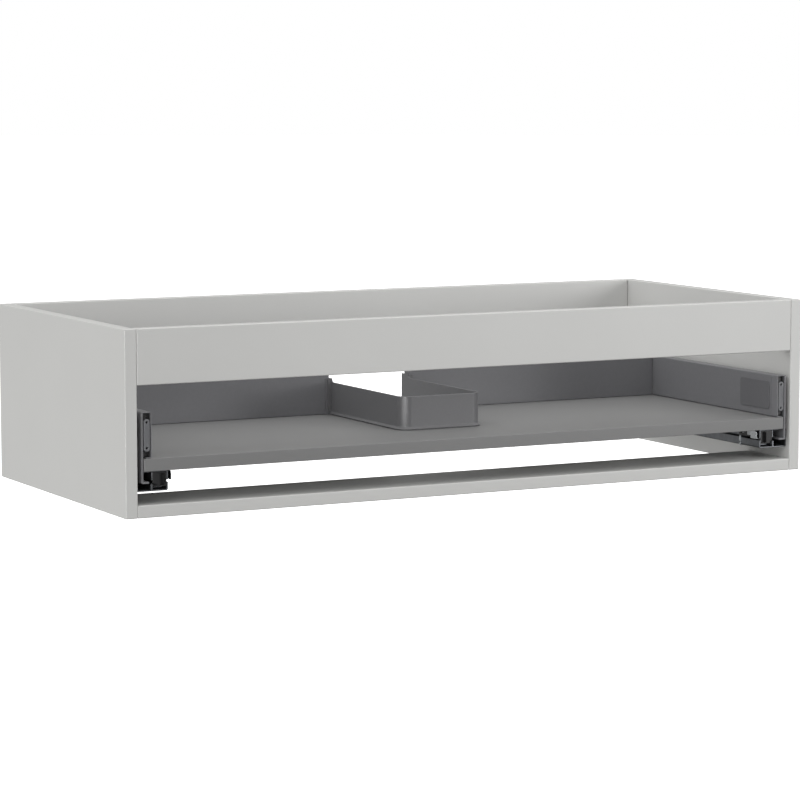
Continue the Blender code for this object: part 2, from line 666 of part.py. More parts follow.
def middle_rail(name, side):
    """The moving rail between the other two: two channels back to back, with a lip at each edge."""
    low, high, sheet = MIDDLE_BASE_Z, MIDDLE_TOP_Z, MIDDLE_SHEET
    half, web = MIDDLE_HALF, MIDDLE_SHEET
    quarter = [
        (web, low + sheet), (half - sheet, low + sheet),
        (half - sheet, low + MIDDLE_LIP), (half, low + MIDDLE_LIP), (half, low),
    ]
    upper = [(a, low + high - b) for a, b in quarter[::-1]]
    right = upper + quarter
    left = [(-a, b) for a, b in reversed(right)]
    outline = [(CHANNEL_MIDDLE + a, b) for a, b in right[::-1] + left[::-1]]
    start = SLIDE_FRONT_Y + MIDDLE_SETBACK
    prism(
        f"middle_rail_{name}", mirrored(side, outline), "Y",
        start, SLIDE_FRONT_Y + SLIDE_LENGTH - MIDDLE_REAR_SETBACK, "galvanised_steel",
    )


def drawer_rail(name, side):
    """The rail under the drawer floor: a ball channel with a wide supporting plate."""
    top, roof = DRAWER_RAIL_TOP_Z, DRAWER_RAIL_ROOF_Z
    low = top - DRAWER_RAIL_DROP
    reach = FLOOR_HALF - 0.001
    outline = [
        (SLIDE_INBOARD, top), (SLIDE_INBOARD, low), (CHANNEL_IN, low), (CHANNEL_IN, roof),
        (CHANNEL_OUT, roof), (CHANNEL_OUT, low), (CHANNEL_OUT + RAIL_SHEET, low),
        (CHANNEL_OUT + RAIL_SHEET, roof), (reach, roof), (reach, top),
    ]
    prism(
        f"drawer_rail_{name}", mirrored(side, outline), "Y",
        SLIDE_FRONT_Y, DRAWER_BACK_Y, "galvanised_steel",
    )


def ball_cage(name, level, side, web_z, edge_z, centre_z, start):
    """A plastic cage riding between two rails, with its captive balls."""
    inset = BALL_SPACE / 2
    low_a, high_a = CHANNEL_IN + inset, CHANNEL_OUT - inset
    path = [(low_a, edge_z), (low_a, web_z), (high_a, web_z), (high_a, edge_z)]
    outline = mirrored(side, bent_sheet(path, CAGE_SHEET, 0.0002, steps=1))
    cage = prism(
        f"{level}_ball_cage_{name}", outline, "Y", start, start + CAGE_LENGTH, "grey_plastic"
    )
    balls = bmesh.new()
    count = int(CAGE_LENGTH / BALL_PITCH)
    margin = (CAGE_LENGTH - (count - 1) * BALL_PITCH) / 2
    for k in range(count):
        for a in (low_a, high_a):
            place = Matrix.Translation((side * a, start + margin + k * BALL_PITCH, centre_z))
            radius = BALL_DIAMETER / 2
            bmesh.ops.create_icosphere(balls, subdivisions=1, radius=radius, matrix=place)
    apply_boolean(cage, finish(f"join_{level}_balls_{name}", balls, "bright_steel"), "UNION")


def ball_cages(name, side):
    open_middle_front = SLIDE_FRONT_Y + MIDDLE_SETBACK - SLIDE_TRAVEL / 2
    lower_start = SLIDE_FRONT_Y + CAGE_INSET + SLIDE_TRAVEL / 4
    upper_start = open_middle_front + CAGE_INSET + 0.75 * SLIDE_TRAVEL
    half = CAGE_SHEET / 2
    lip = MIDDLE_LIP - 0.0006
    ball_rise = MIDDLE_LIP / 2
    ball_cage(
        name, "lower", side, MIDDLE_BASE_Z - 0.0004 - half,
        MIDDLE_BASE_Z + lip, MIDDLE_BASE_Z + ball_rise, lower_start,
    )
    ball_cage(
        name, "upper", side, MIDDLE_TOP_Z + 0.0004 + half,
        MIDDLE_TOP_Z - lip, MIDDLE_TOP_Z - ball_rise, upper_start,
    )


def soft_close(name, side):
    """The self-closing unit in the cabinet rail, and the pin on the drawer rail that works it."""
    inner = RIB_OUT + FIT_GAP
    outer = INNER_HALF - FIT_GAP - RAIL_SHEET - FIT_GAP
    low = RAIL_FLOOR_Z + FIT_GAP
    tray = box(
        f"damper_tray_{name}",
        (side * inner, TRAY_FRONT_Y, low),
        (side * outer, TRAY_BACK_Y, TRAY_TOP_Z),
        "black_plastic",
    )
    hollow = box(
        f"cut_tray_{name}",
        (side * (inner + TRAY_WALL), TRAY_FRONT_Y + TRAY_WALL, low + TRAY_WALL),
        (side * (outer - TRAY_WALL), TRAY_BACK_Y - TRAY_WALL, TRAY_TOP_Z + 0.005),
        "black_plastic",
    )
    apply_boolean(tray, hollow)
    floor = low + TRAY_WALL
    axis_z = floor + CYLINDER_RADIUS + FIT_GAP
    catch_low = inner + TRAY_WALL + CATCH_GAP
    catch_high = outer - TRAY_WALL - CATCH_GAP
    catch_front = CATCH_BACK_Y - CATCH_LENGTH
    box(
        f"closing_catch_{name}",
        (side * catch_low, catch_front, floor + CATCH_GAP),
        (side * catch_high, CATCH_BACK_Y, CATCH_TOP_Z),
        "grey_plastic",
    )
    damper_across = catch_low + CYLINDER_RADIUS + 0.0025
    cylinder_start = CATCH_BACK_Y + 0.0025
    cylinder = round_along_y(
        f"damper_cylinder_{name}", side * damper_across, axis_z, CYLINDER_RADIUS,
        cylinder_start, cylinder_start + CYLINDER_LENGTH, "bright_steel",
    )
    bore = round_along_y(
        f"cut_bore_{name}", side * damper_across, axis_z, ROD_RADIUS + ROD_CLEARANCE,
        cylinder_start - 0.005, cylinder_start + CYLINDER_LENGTH - 0.004, "bright_steel",
    )
    apply_boolean(cylinder, bore)
    round_along_y(
        f"damper_rod_{name}", side * damper_across, axis_z, ROD_RADIUS,
        CATCH_BACK_Y + FIT_GAP, cylinder_start + CYLINDER_LENGTH - 0.008, "bright_steel", steps=8,
    )
    spring_across = (catch_low + catch_high) / 2
    round_along_y(
        f"closing_spring_{name}", side * spring_across, axis_z, SPRING_RADIUS,
        TRAY_FRONT_Y + TRAY_WALL + FIT_GAP, catch_front - FIT_GAP, "bright_steel", steps=8,
    )
    pin_y = CATCH_BACK_Y - CATCH_LENGTH / 2 - PIN_LENGTH / 2
    box(
        f"closing_pin_{name}",
        (side * PIN_IN, pin_y, TRAY_TOP_Z + FIT_GAP),
        (side * (PIN_IN + PIN_WIDTH), pin_y + PIN_LENGTH, DRAWER_RAIL_ROOF_Z - FIT_GAP),
        "black_plastic",
    )


def release_latch(name, side):
    """The thumb lever that frees the drawer from its rail, and the housing it turns in."""
    wall = SLIDE_INBOARD - FIT_GAP
    front = FRONT_Y + LATCH_SETBACK
    high = DRAWER_RAIL_TOP_Z - FIT_GAP
    low = high - LATCH_DROP
    housing_start = front + LATCH_PLATE_LENGTH
    pivot_y = housing_start + 0.004
    lever_face = wall - LATCH_REACH
    plate = lever_face + LATCH_SHEET
    tail = lever_face + 0.0006
    pivot_across = tail + LATCH_TAIL / 2
    housing = box(
        f"latch_housing_{name}",
        (side * plate, housing_start, low + 0.0012),
        (side * wall, housing_start + LATCH_HOUSING_LENGTH, high),
        "black_plastic",
    )
    well = box(
        f"cut_latch_{name}",
        (side * (lever_face - 0.001), housing_start - 0.001, low + 0.0034),
        (side * (wall - LATCH_WELL_WALL), pivot_y + 0.0034, high - 0.0022),
        "black_plastic",
    )
    apply_boolean(housing, well)
    pin = prism(
        f"join_pivot_{name}",
        circle((side * pivot_across, pivot_y), LATCH_PIVOT_RADIUS, 10),
        "Z", low + 0.0014, high - 0.0002, "black_plastic",
    )
    apply_boolean(housing, pin, "UNION")
    outline = [
        (lever_face, front), (plate, front), (plate, housing_start - 0.004),
        (tail + LATCH_TAIL, housing_start - 0.001), (tail + LATCH_TAIL, pivot_y + 0.0022),
        (tail, pivot_y + 0.0022), (lever_face, housing_start - 0.002),
    ]
    lever = prism(
        f"release_lever_{name}",
        mirrored(side, outline), "Z", low + 0.0038, high - 0.0026, "bright_steel",
    )
    foot = box(
        f"join_foot_{name}",
        (side * lever_face, front, low),
        (side * (wall - 0.0005), front + LATCH_PLATE_LENGTH * 0.55, low + LATCH_SHEET),
        "bright_steel",
    )
    apply_boolean(lever, foot, "UNION")
    thumb = box(
        f"join_thumb_{name}",
        (side * lever_face, front, low),
        (side * plate, front + LATCH_PLATE_LENGTH - 0.004, high - 0.001),
        "bright_steel",
    )
    apply_boolean(lever, thumb, "UNION")
    hole = prism(
        f"cut_pivot_{name}",
        circle((side * pivot_across, pivot_y), LATCH_PIVOT_RADIUS + LATCH_PIVOT_SPACE, 10),
        "Z", low - 0.005, high + 0.005, "bright_steel",
    )
    apply_boolean(lever, hole)


def rail_end_cap(name, side):
    """The plug in the front end of the drawer rail's channel."""
    box(
        f"rail_end_cap_{name}",
        (side * (CHANNEL_IN + FIT_GAP), SLIDE_FRONT_Y, RAIL_FLOOR_Z + END_CAP_LIFT),
        (
            side * (CHANNEL_OUT - FIT_GAP),
            SLIDE_FRONT_Y + END_CAP_LENGTH,
            DRAWER_RAIL_ROOF_Z - FIT_GAP,
        ),
        "grey_plastic",
    )


# ---------------------------------------------------------------- assembly
def drawer():
    drawer_floor()
    siphon_surround()
    for name, side in SIDES:
        back_panel(name, side)
        drawer_side(name, side)
        cover_cap(name, side)
        front_fixing(name, side)
        back_bracket(name, side)


def slides():
    for name, side in SIDES:
        cabinet_rail(name, side)
        for number, depth in enumerate(SCREW_DEPTHS):
            rail_screw(name, side, number, depth)
        middle_rail(name, side)
        drawer_rail(name, side)
        ball_cages(name, side)
        soft_close(name, side)
        release_latch(name, side)
        rail_end_cap(name, side)


def main():
    clear_scene()
    make_materials()
    carcass()
    for name, side in SIDES:
        wall_hanger(name, side)
    drawer()
    slides()


main()
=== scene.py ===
"""A wall-hung washbasin cabinet with one drawer on a pair of full-extension concealed slides.

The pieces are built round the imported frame, in metres, with +Z up and the front towards -Y. A
piece of the left or right side is shaped at the right, where x is its distance from the middle of
the cabinet, and is then mirrored for the left.
"""

import math
from collections import namedtuple

import bmesh
import bpy
from mathutils import Matrix, Vector


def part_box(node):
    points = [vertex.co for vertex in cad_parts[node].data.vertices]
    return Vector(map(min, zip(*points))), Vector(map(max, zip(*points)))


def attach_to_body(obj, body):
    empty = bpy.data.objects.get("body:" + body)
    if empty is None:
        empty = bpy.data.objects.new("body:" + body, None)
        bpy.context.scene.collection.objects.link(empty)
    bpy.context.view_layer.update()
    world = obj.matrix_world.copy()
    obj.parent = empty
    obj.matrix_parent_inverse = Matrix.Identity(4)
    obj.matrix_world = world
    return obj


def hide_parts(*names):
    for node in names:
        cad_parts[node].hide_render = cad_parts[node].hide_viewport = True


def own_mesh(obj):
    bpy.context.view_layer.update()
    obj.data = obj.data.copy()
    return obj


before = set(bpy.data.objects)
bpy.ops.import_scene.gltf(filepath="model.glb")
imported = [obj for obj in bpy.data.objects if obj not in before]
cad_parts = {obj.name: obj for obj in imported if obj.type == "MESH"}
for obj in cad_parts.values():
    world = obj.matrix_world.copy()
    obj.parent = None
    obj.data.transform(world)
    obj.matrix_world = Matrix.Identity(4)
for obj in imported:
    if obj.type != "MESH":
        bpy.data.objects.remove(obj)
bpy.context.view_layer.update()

bl_info = {
    "name": "Washbasin drawer cabinet",
    "version": (1, 0, 0),
    "blender": (4, 5, 0),
    "location": "View3D > Sidebar > Basin cabinet",
    "description": "Builds the boards, the drawer and the concealed slides of a washbasin cabinet",
    "category": "Add Mesh",
}

MM = 0.001
SIDES = (("left", -1), ("right", 1))
Span = namedtuple("Span", "x0 x1 y0 y1 z0 z1")


def span(node):
    """The box of a CAD node, as (x0, x1, y0, y1, z0, z1)."""
    low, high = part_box(node)
    return Span(low.x, high.x, low.y, high.y, low.z, high.z)


def srgb(code):
    """A #RRGGBB colour as the linear values that a shader takes."""
    values = [int(code[k:k + 2], 16) / 255 for k in (1, 3, 5)]
    return tuple(v / 12.92 if v <= 0.04045 else ((v + 0.055) / 1.055) ** 2.4 for v in values)


# ---------------------------------------------------------------- sizes and colours
def length(name, description, millimetres):
    return bpy.props.FloatProperty(
        name=name, description=description, default=millimetres * MM,
        min=0.0, unit="LENGTH", subtype="DISTANCE", precision=5,
    )


def colour(name, description, code):
    return bpy.props.FloatVectorProperty(
        name=name, description=description, default=srgb(code),
        size=3, min=0.0, max=1.0, subtype="COLOR",
    )


def power(name, description, watts):
    return bpy.props.FloatProperty(
        name=name, description=description, default=watts, min=0.0, unit="POWER",
    )


class CabinetSizes(bpy.types.PropertyGroup):
    """Sizes of the carcass boards and the wall hangers."""

    edge_radius: length("Edge radius", "Rounding of the edge bands on the carcass boards", 1.3)
    dowel_cam_radius: length("Cam radius", "Radius of the connecting fittings in the rails", 7.5)
    dowel_cam_inset: length("Cam inset", "Connecting fitting to the end of its rail", 34)
    hook_bend: length("Hook bend", "Inner radius of the hanger hook's bend", 2)


class DrawerSizes(bpy.types.PropertyGroup):
    """Sizes of the drawer's sheets, boards and mouldings."""

    sheet: length("Side sheet", "Steel of the drawer sides' inner wall", 1.2)
    hem: length("Hemmed wall", "Outer wall of the drawer sides, folded double", 2.4)
    bend: length("Side bend", "Inner radius of the drawer sides' folds", 0.6)
    floor_edge: length("Floor edge radius", "Rounding of the drawer floor's edge band", 0.6)
    surround_wall: length("Surround wall", "Wall of the siphon surround", 2)
    surround_corner: length("Surround corner", "Outer radius of the surround's corners", 15.2)
    surround_flare: length("Surround flare", "Height of the surround's sloped foot", 4.6)
    cap_corner: length("Cap corner", "Corner radius of the cover caps", 4)


class SlideSizes(bpy.types.PropertyGroup):
    """Sizes of the slides' rails and their fittings."""

    sheet: length("Rail sheet", "Steel of the cabinet rail and the drawer rail", 1.5)
    bend: length("Rail bend", "Inner radius of the rails' folds", 0.8)
    middle_sheet: length("Middle rail sheet", "Steel of the middle rail", 1.2)
    ball: length("Ball", "Diameter of the balls", 2.9)
    ball_pitch: length("Ball pitch", "Ball to ball along a cage", 18)
    spring_wire: length("Spring wire", "Wire of the closing spring", 0.6)
    spring_turns: bpy.props.IntProperty(
        name="Spring turns", description="Turns of the closing spring", default=24, min=2,
    )
    wheel_ribs: bpy.props.IntProperty(
        name="Wheel ribs", description="Ribs round the height adjustment wheel", default=20, min=6,
    )


class FinishColours(bpy.types.PropertyGroup):
    """Colours of the finishes."""

    carcass: colour("Carcass", "Light grey melamine of the carcass", "#CDCDCB")
    edging: colour("Carcass edging", "Light grey edge band of the carcass", "#CACAC8")
    floor: colour("Drawer floor", "Dark grey melamine of the drawer floor", "#7C7C7C")
    steel: colour("Drawer steel", "Dark grey powder coat of the drawer sides and back", "#737376")
    moulding: colour("Surround", "Dark grey plastic of the siphon surround", "#676769")
    cap: colour("Cover caps", "Grey plastic of the cover caps", "#646467")
    bracket: colour("Brackets", "Grey plastic of the front brackets", "#68696C")
    zinc: colour("Zinc strip", "Zinc coat of the rolled rails", "#6C6E71")
    bright_zinc: colour("Bright zinc", "Bright zinc plate of the small steel parts", "#A9ACAE")
    black: colour("Black plastic", "Black plastic of the housings", "#1E1E1F")
    grey: colour("Grey plastic", "Grey plastic of the cages and hanger housings", "#7A7B7D")


class StudioSettings(bpy.types.PropertyGroup):
    """The plain studio round the cabinet."""

    floor_drop: length("Floor drop", "Studio floor below the cabinet", 620)
    left_power: power("Left light", "Soft light in front of the left corner", 8.8)
    low_power: power("Low light", "Soft light low in front of the cabinet", 3.5)
    right_power: power("Right light", "Soft light in front of the right side", 146)
    strip_power: power("Strip light", "Light that only glints on the rounded edges", 150)
    overhead_power: power("Overhead light", "Large soft light over the cabinet", 26.6)
    air_left: bpy.props.FloatProperty(
        name="Light from the left", description="Strength of the air's light from the left",
        default=1.05, min=0.0,
    )
    air_above: bpy.props.FloatProperty(
        name="Light from above", description="Strength of the air's light from above",
        default=0.86, min=0.0,
    )
    paper: colour("Studio white", "Floor and background", "#FFFFFF")


def settings():
    return bpy.context.scene.basin_cabinet


class BasinCabinetSettings(bpy.types.PropertyGroup):
    """All the settings of the washbasin cabinet."""

    cabinet: bpy.props.PointerProperty(type=CabinetSizes)
    drawer: bpy.props.PointerProperty(type=DrawerSizes)
    slide: bpy.props.PointerProperty(type=SlideSizes)
    colours: bpy.props.PointerProperty(type=FinishColours)
    studio: bpy.props.PointerProperty(type=StudioSettings)


# ---------------------------------------------------------------- nodes
def add(tree, kind, inputs=None, **choices):
    """A node with its settings. An input is a value, or the socket that it is linked from."""
    node = tree.nodes.new(kind)
    for choice, value in choices.items():
        setattr(node, choice, value)
    for socket, value in (inputs or {}).items():
        if isinstance(value, bpy.types.NodeSocket):
            tree.links.new(value, node.inputs[socket])
        else:
            node.inputs[socket].default_value = value
    return node


def shade(rgb, factor):
    """A colour made lighter or darker, with its alpha."""
    return (*(min(1.0, c * factor) for c in rgb), 1.0)


MIX_A, MIX_B, MIX_OUT = 6, 7, 2  # the colour sockets of a Mix node


def link_surface(tree, shader, tint, gloss, bump):
    """Joins the colour, the roughness and the relief of a finish to its shader."""
    tree.links.new(tint.outputs[MIX_OUT], shader.inputs["Base Color"])
    tree.links.new(gloss.outputs["Result"], shader.inputs["Roughness"])
    tree.links.new(bump.outputs["Normal"], shader.inputs["Normal"])


def pressed_board(name, rgb, roughness, patch, pearl, lacquer=0.0):
    """Melamine on chipboard: an even decor paper under half-matt resin with a fine pearl.

    The eye gets a very slight cloudiness and a soft, broad reflection. The real pearl is 0.3 mm and
    too fine to show, so it is drawn at 1.5 mm or more and kept faint. The lacquer on the edge bands
    glints along their rounded corners.
    """
    made, tree, shader = new_material(name, roughness)
    shader.inputs["Coat Weight"].default_value = lacquer
    shader.inputs["Coat Roughness"].default_value = 0.12
    place = add(tree, "ShaderNodeTexCoord").outputs["Object"]
    cloud = add(tree, "ShaderNodeTexNoise", {"Vector": place, "Scale": 1 / patch, "Detail": 3.0})
    tint = add(tree, "ShaderNodeMix", {
        0: cloud.outputs["Fac"], MIX_A: shade(rgb, 0.975), MIX_B: shade(rgb, 1.025),
    }, data_type="RGBA")
    dimples = add(tree, "ShaderNodeTexNoise", {"Vector": place, "Scale": 1 / pearl, "Detail": 2.0})
    bump = add(tree, "ShaderNodeBump", {
        "Height": dimples.outputs["Fac"], "Strength": 0.06, "Distance": 0.02 * MM,
    })
    gloss = add(tree, "ShaderNodeMapRange", {
        "Value": dimples.outputs["Fac"], "To Min": roughness - 0.03, "To Max": roughness + 0.03,
    })
    link_surface(tree, shader, tint, gloss, bump)
    return made


def grained_coat(name, rgb, roughness, grain, depth, ior=1.5):
    """Powder coat or moulded plastic: one colour with a fine grain.

    The eye gets an orange peel or a spark-eroded matt that breaks up the highlight. The height is
    the sum of two grains, one four times the other.
    """
    made, tree, shader = new_material(name, roughness)
    shader.inputs["IOR"].default_value = ior
    place = add(tree, "ShaderNodeTexCoord").outputs["Object"]
    fine = add(tree, "ShaderNodeTexNoise", {"Vector": place, "Scale": 1 / grain, "Detail": 2.0})
    broad = add(tree, "ShaderNodeTexNoise", {"Vector": place, "Scale": 0.25 / grain, "Detail": 1.0})
    height = add(tree, "ShaderNodeMath", {0: fine.outputs["Fac"], 1: broad.outputs["Fac"]})
    bump = add(tree, "ShaderNodeBump", {
        "Height": height.outputs["Value"], "Strength": 0.25, "Distance": depth,
    })
    tint = add(tree, "ShaderNodeMix", {
        0: broad.outputs["Fac"], MIX_A: shade(rgb, 0.96), MIX_B: shade(rgb, 1.04),
    }, data_type="RGBA")
    gloss = add(tree, "ShaderNodeMapRange", {
        "Value": fine.outputs["Fac"], "To Min": roughness - 0.05, "To Max": roughness + 0.05,
    })
    link_surface(tree, shader, tint, gloss, bump)
    return made


def plated_steel(name, rgb, roughness, spangle, drawn):
    """Zinc on steel: crystals of slightly different tone, and fine lines where it was rolled.

    The eye gets a broken metallic glint. Spangle is a crystal's size, and drawn is the width of a
    rolling line, which runs along Y.
    """
    made, tree, shader = new_material(name, roughness)
    shader.inputs["Metallic"].default_value = 1.0
    place = add(tree, "ShaderNodeTexCoord").outputs["Object"]
    crystals = add(tree, "ShaderNodeTexVoronoi", {"Vector": place, "Scale": 1 / spangle})
    tone = add(tree, "ShaderNodeSeparateColor", {"Color": crystals.outputs["Color"]})
    tint = add(tree, "ShaderNodeMix", {
        0: tone.outputs["Red"], MIX_A: shade(rgb, 0.90), MIX_B: shade(rgb, 1.08),
    }, data_type="RGBA")
    along = add(tree, "ShaderNodeMapping", {"Vector": place, "Scale": (1.0, 0.02, 1.0)})
    lines = add(tree, "ShaderNodeTexNoise", {
        "Vector": along.outputs["Vector"], "Scale": 1 / drawn, "Detail": 2.0,
    })
    gloss = add(tree, "ShaderNodeMapRange", {
        "Value": lines.outputs["Fac"], "To Min": roughness - 0.07, "To Max": roughness + 0.07,
    })
    bump = add(tree, "ShaderNodeBump", {
        "Height": lines.outputs["Fac"], "Strength": 0.15, "Distance": 0.02 * MM,
    })
    link_surface(tree, shader, tint, gloss, bump)
    return made


def new_material(name, roughness):
    """An empty material with one shader on its output."""
    made = bpy.data.materials.new(name)
    made.use_nodes = True
    tree = made.node_tree
    tree.nodes.clear()
    shader = add(tree, "ShaderNodeBsdfPrincipled", {"Roughness": roughness})
    add(tree, "ShaderNodeOutputMaterial", {"Surface": shader.outputs["BSDF"]})
    return made, tree, shader


# Each finish by name: the record's slot, and how it is made from the colours.
FINISHES = {
    "light_grey_melamine": ("carcass_laminate", lambda name, c: pressed_board(
        name, c.carcass, 0.42, 140 * MM, 1.5 * MM)),
    "light_grey_edge_band": ("carcass_laminate", lambda name, c: pressed_board(
        name, c.edging, 0.24, 140 * MM, 2.0 * MM, 1.0)),
    "dark_grey_melamine": ("drawer_laminate", lambda name, c: pressed_board(
        name, c.floor, 0.45, 110 * MM, 1.5 * MM)),
    "dark_grey_powder_coat": ("drawer_steel", lambda name, c: grained_coat(
        name, c.steel, 0.42, 1.2 * MM, 0.03 * MM)),
    "dark_grey_polypropylene": ("drawer_plastic", lambda name, c: grained_coat(
        name, c.moulding, 0.42, 0.8 * MM, 0.01 * MM, 1.49)),
    "grey_abs_cap": ("grey_plastic", lambda name, c: grained_coat(
        name, c.cap, 0.38, 0.8 * MM, 0.01 * MM, 1.53)),
    "grey_nylon_bracket": ("grey_plastic", lambda name, c: grained_coat(
        name, c.bracket, 0.45, 0.6 * MM, 0.02 * MM, 1.53)),
    "grey_acetal": ("grey_plastic", lambda name, c: grained_coat(
        name, c.grey, 0.40, 0.6 * MM, 0.01 * MM, 1.48)),
    "black_acetal": ("black_plastic", lambda name, c: grained_coat(
        name, c.black, 0.38, 0.6 * MM, 0.015 * MM, 1.48)),
    "zinc_coated_strip": ("galvanised_steel", lambda name, c: plated_steel(
        name, c.zinc, 0.38, 5 * MM, 0.4 * MM)),
    "bright_zinc_plate": ("bright_steel", lambda name, c: plated_steel(
        name, c.bright_zinc, 0.24, 1.5 * MM, 0.2 * MM)),
}


def finish(name):
    """The material of a finish, made when it is first asked for."""
    known = bpy.data.materials.get(name)
    return known or FINISHES[name][1](name, settings().colours)


# ---------------------------------------------------------------- outlines
def arc(centre, radius, start, end, steps):
    """Points along an arc between two angles in degrees."""
    angles = [math.radians(start + (end - start) * k / steps) for k in range(steps + 1)]
    return [(centre[0] + radius * math.cos(a), centre[1] + radius * math.sin(a)) for a in angles]


def circle(centre, radius, steps=32):
    return arc(centre, radius, 0, 360, steps)[:-1]


def rounded(corners, steps=6):
    """An outline through (a, b, radius) corners, each turned on an arc of its radius."""
    points = []
    for here, (a, b, radius) in enumerate(corners):
        corner = Vector((a, b))
        if not radius:
            points.append(tuple(corner))
            continue
        back = (Vector(corners[here - 1][:2]) - corner).normalized()
        on = (Vector(corners[(here + 1) % len(corners)][:2]) - corner).normalized()
        half = back.angle(on) / 2
        centre = corner + (back + on).normalized() * radius / math.sin(half)
        first = corner + back * radius / math.tan(half) - centre
        last = corner + on * radius / math.tan(half) - centre
        turn = first.angle_signed(last)
        for k in range(steps + 1):
            points.append(tuple(centre + Matrix.Rotation(-turn * k / steps, 2) @ first))
    return points


def rectangle(a0, a1, b0, b1, radius, steps=6):
    return rounded([(a1, b0, radius), (a1, b1, radius), (a0, b1, radius), (a0, b0, radius)], steps)


def folded(path, sheet, bend, steps=5):
    """The outline of a sheet folded along a centreline, its bends rounded to an inner radius."""
    points = [Vector(p) for p in path]
    middle = bend + sheet / 2
    samples = []
    for here, (before, after) in enumerate(zip(points, points[1:])):
        along = (after - before).normalized()
        across = Vector((-along.y, along.x))
        if here == 0:
            samples.append((before, across))
        if here == len(points) - 2:
            samples.append((after, across))
            continue
        turned = (points[here + 2] - after).normalized()
        angle = along.angle_signed(turned)
        reach = middle * math.tan(abs(angle) / 2)
        way = -1.0 if angle > 0 else 1.0
        centre = after - along * reach + across * middle * way
        for k in range(steps + 1):
            normal = Matrix.Rotation(-angle * k / steps, 2) @ across
            samples.append((centre - normal * middle * way, normal))
    one_side = [tuple(point + normal * sheet / 2) for point, normal in samples]
    other_side = [tuple(point - normal * sheet / 2) for point, normal in samples]
    return one_side + other_side[::-1]


# ---------------------------------------------------------------- shapes
PLACES = {
    "X": lambda a, b, along: (along, a, b),
    "Y": lambda a, b, along: (a, along, b),
    "Z": lambda a, b, along: (a, b, along),
}


def loft(shape, rings):
    """A closed body through rings of the same number of points."""
    rows = [[shape.verts.new(point) for point in ring] for ring in rings]
    count = len(rows[0])
    for low, high in zip(rows, rows[1:]):
        for k in range(count):
            on = (k + 1) % count
            shape.faces.new((low[k], low[on], high[on], high[k]))
    shape.faces.new(rows[0][::-1])
    shape.faces.new(rows[-1])
    return shape


def prism(shape, outline, axis, start, end):
    """An outline swept along an axis. It holds (x, z) for Y, (y, z) for X and (x, y) for Z."""
    place = PLACES[axis]
    return loft(shape, [[place(a, b, along) for a, b in outline] for along in (start, end)])


def block(shape, x0, x1, y0, y1, z0, z1):
    return prism(shape, [(x0, y0), (x1, y0), (x1, y1), (x0, y1)], "Z", z0, z1)


def turned(shape, profile, axis, centre, steps=32):
    """A turned body. The profile holds (radius, along) from one pole to the other."""
    place = PLACES[axis]
    a, b = centre
    tip = shape.verts.new(place(a, b, profile[0][1]))
    end = shape.verts.new(place(a, b, profile[-1][1]))
    rings = []
    for radius, along in profile[1:-1]:
        ring = circle(centre, radius, steps)
        rings.append([shape.verts.new(place(p, q, along)) for p, q in ring])
    for k in range(steps):
        on = (k + 1) % steps
        shape.faces.new((tip, rings[0][on], rings[0][k]))
        for low, high in zip(rings, rings[1:]):
            shape.faces.new((low[k], low[on], high[on], high[k]))
        shape.faces.new((end, rings[-1][k], rings[-1][on]))
    return shape


def as_object(name, shape, side=1):
    """The shape as an object, mirrored for the left side, with its faces pointing out."""
    if side < 0:
        bmesh.ops.scale(shape, vec=(-1, 1, 1), verts=shape.verts)
    bmesh.ops.remove_doubles(shape, verts=shape.verts, dist=1e-7)
    bmesh.ops.recalc_face_normals(shape, faces=shape.faces)
    mesh = bpy.data.meshes.new(name)
    shape.to_mesh(mesh)
    shape.free()
    made = bpy.data.objects.new(name, mesh)
    bpy.context.scene.collection.objects.link(made)
    return made


def freeze(piece):
    """The piece with its modifiers turned into a plain mesh."""
    graph = bpy.context.evaluated_depsgraph_get()
    mesh = bpy.data.meshes.new_from_object(piece.evaluated_get(graph))
    old = piece.data
    piece.modifiers.clear()
    piece.data = mesh
    bpy.data.meshes.remove(old)
    mesh.name = piece.name
    return piece


def smooth(piece, angle=36):
    """Smooth shading that stops at sharp edges and keeps the flats flat."""
    piece.data.shade_smooth()
    piece.data.set_sharp_from_angle(angle=math.radians(angle))
    weighted = piece.modifiers.new("flat_faces", "WEIGHTED_NORMAL")
    weighted.keep_sharp = True
    return freeze(piece)


def carve(piece, cuts, side=1, operation="DIFFERENCE"):
    """Shapes taken out of a piece, or joined to it."""
    others = [as_object(f"cut_{k}", cut, side) for k, cut in enumerate(cuts)]
    for other in others:
        boolean = piece.modifiers.new("carve", "BOOLEAN")
        boolean.object = other
        boolean.operation = operation
        boolean.solver = "EXACT"
    freeze(piece)
    for other in others:
        bpy.data.objects.remove(other, do_unlink=True)
    return piece


def soften(piece, width, segments=2):
    """Rounds the sharp edges."""
    bevel = piece.modifiers.new("soft_edges", "BEVEL")
    bevel.width = width
    bevel.segments = segments
    bevel.limit_method = "ANGLE"
    bevel.angle_limit = math.radians(36)
    return freeze(piece)


def attach(piece, body, finish_name, nodes=()):
    """Gives a piece its finish, the body that it moves with and the CAD nodes it stands for."""
    piece.data.materials.clear()
    piece.data.materials.append(finish(finish_name))
    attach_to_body(piece, body)
    if nodes:
        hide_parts(*nodes)
    return piece


def build(name, shape, side, body, finish_name, nodes=(), edge=0.15 * MM, cuts=(), segments=2):
    """A piece from its shape: edges rounded, openings cut, shaded, finished and attached."""
    piece = as_object(name, shape, side)
    if edge:
        soften(piece, edge, segments)
    if cuts:
        carve(piece, cuts, side)
    smooth(piece)
    return attach(piece, body, finish_name, nodes)


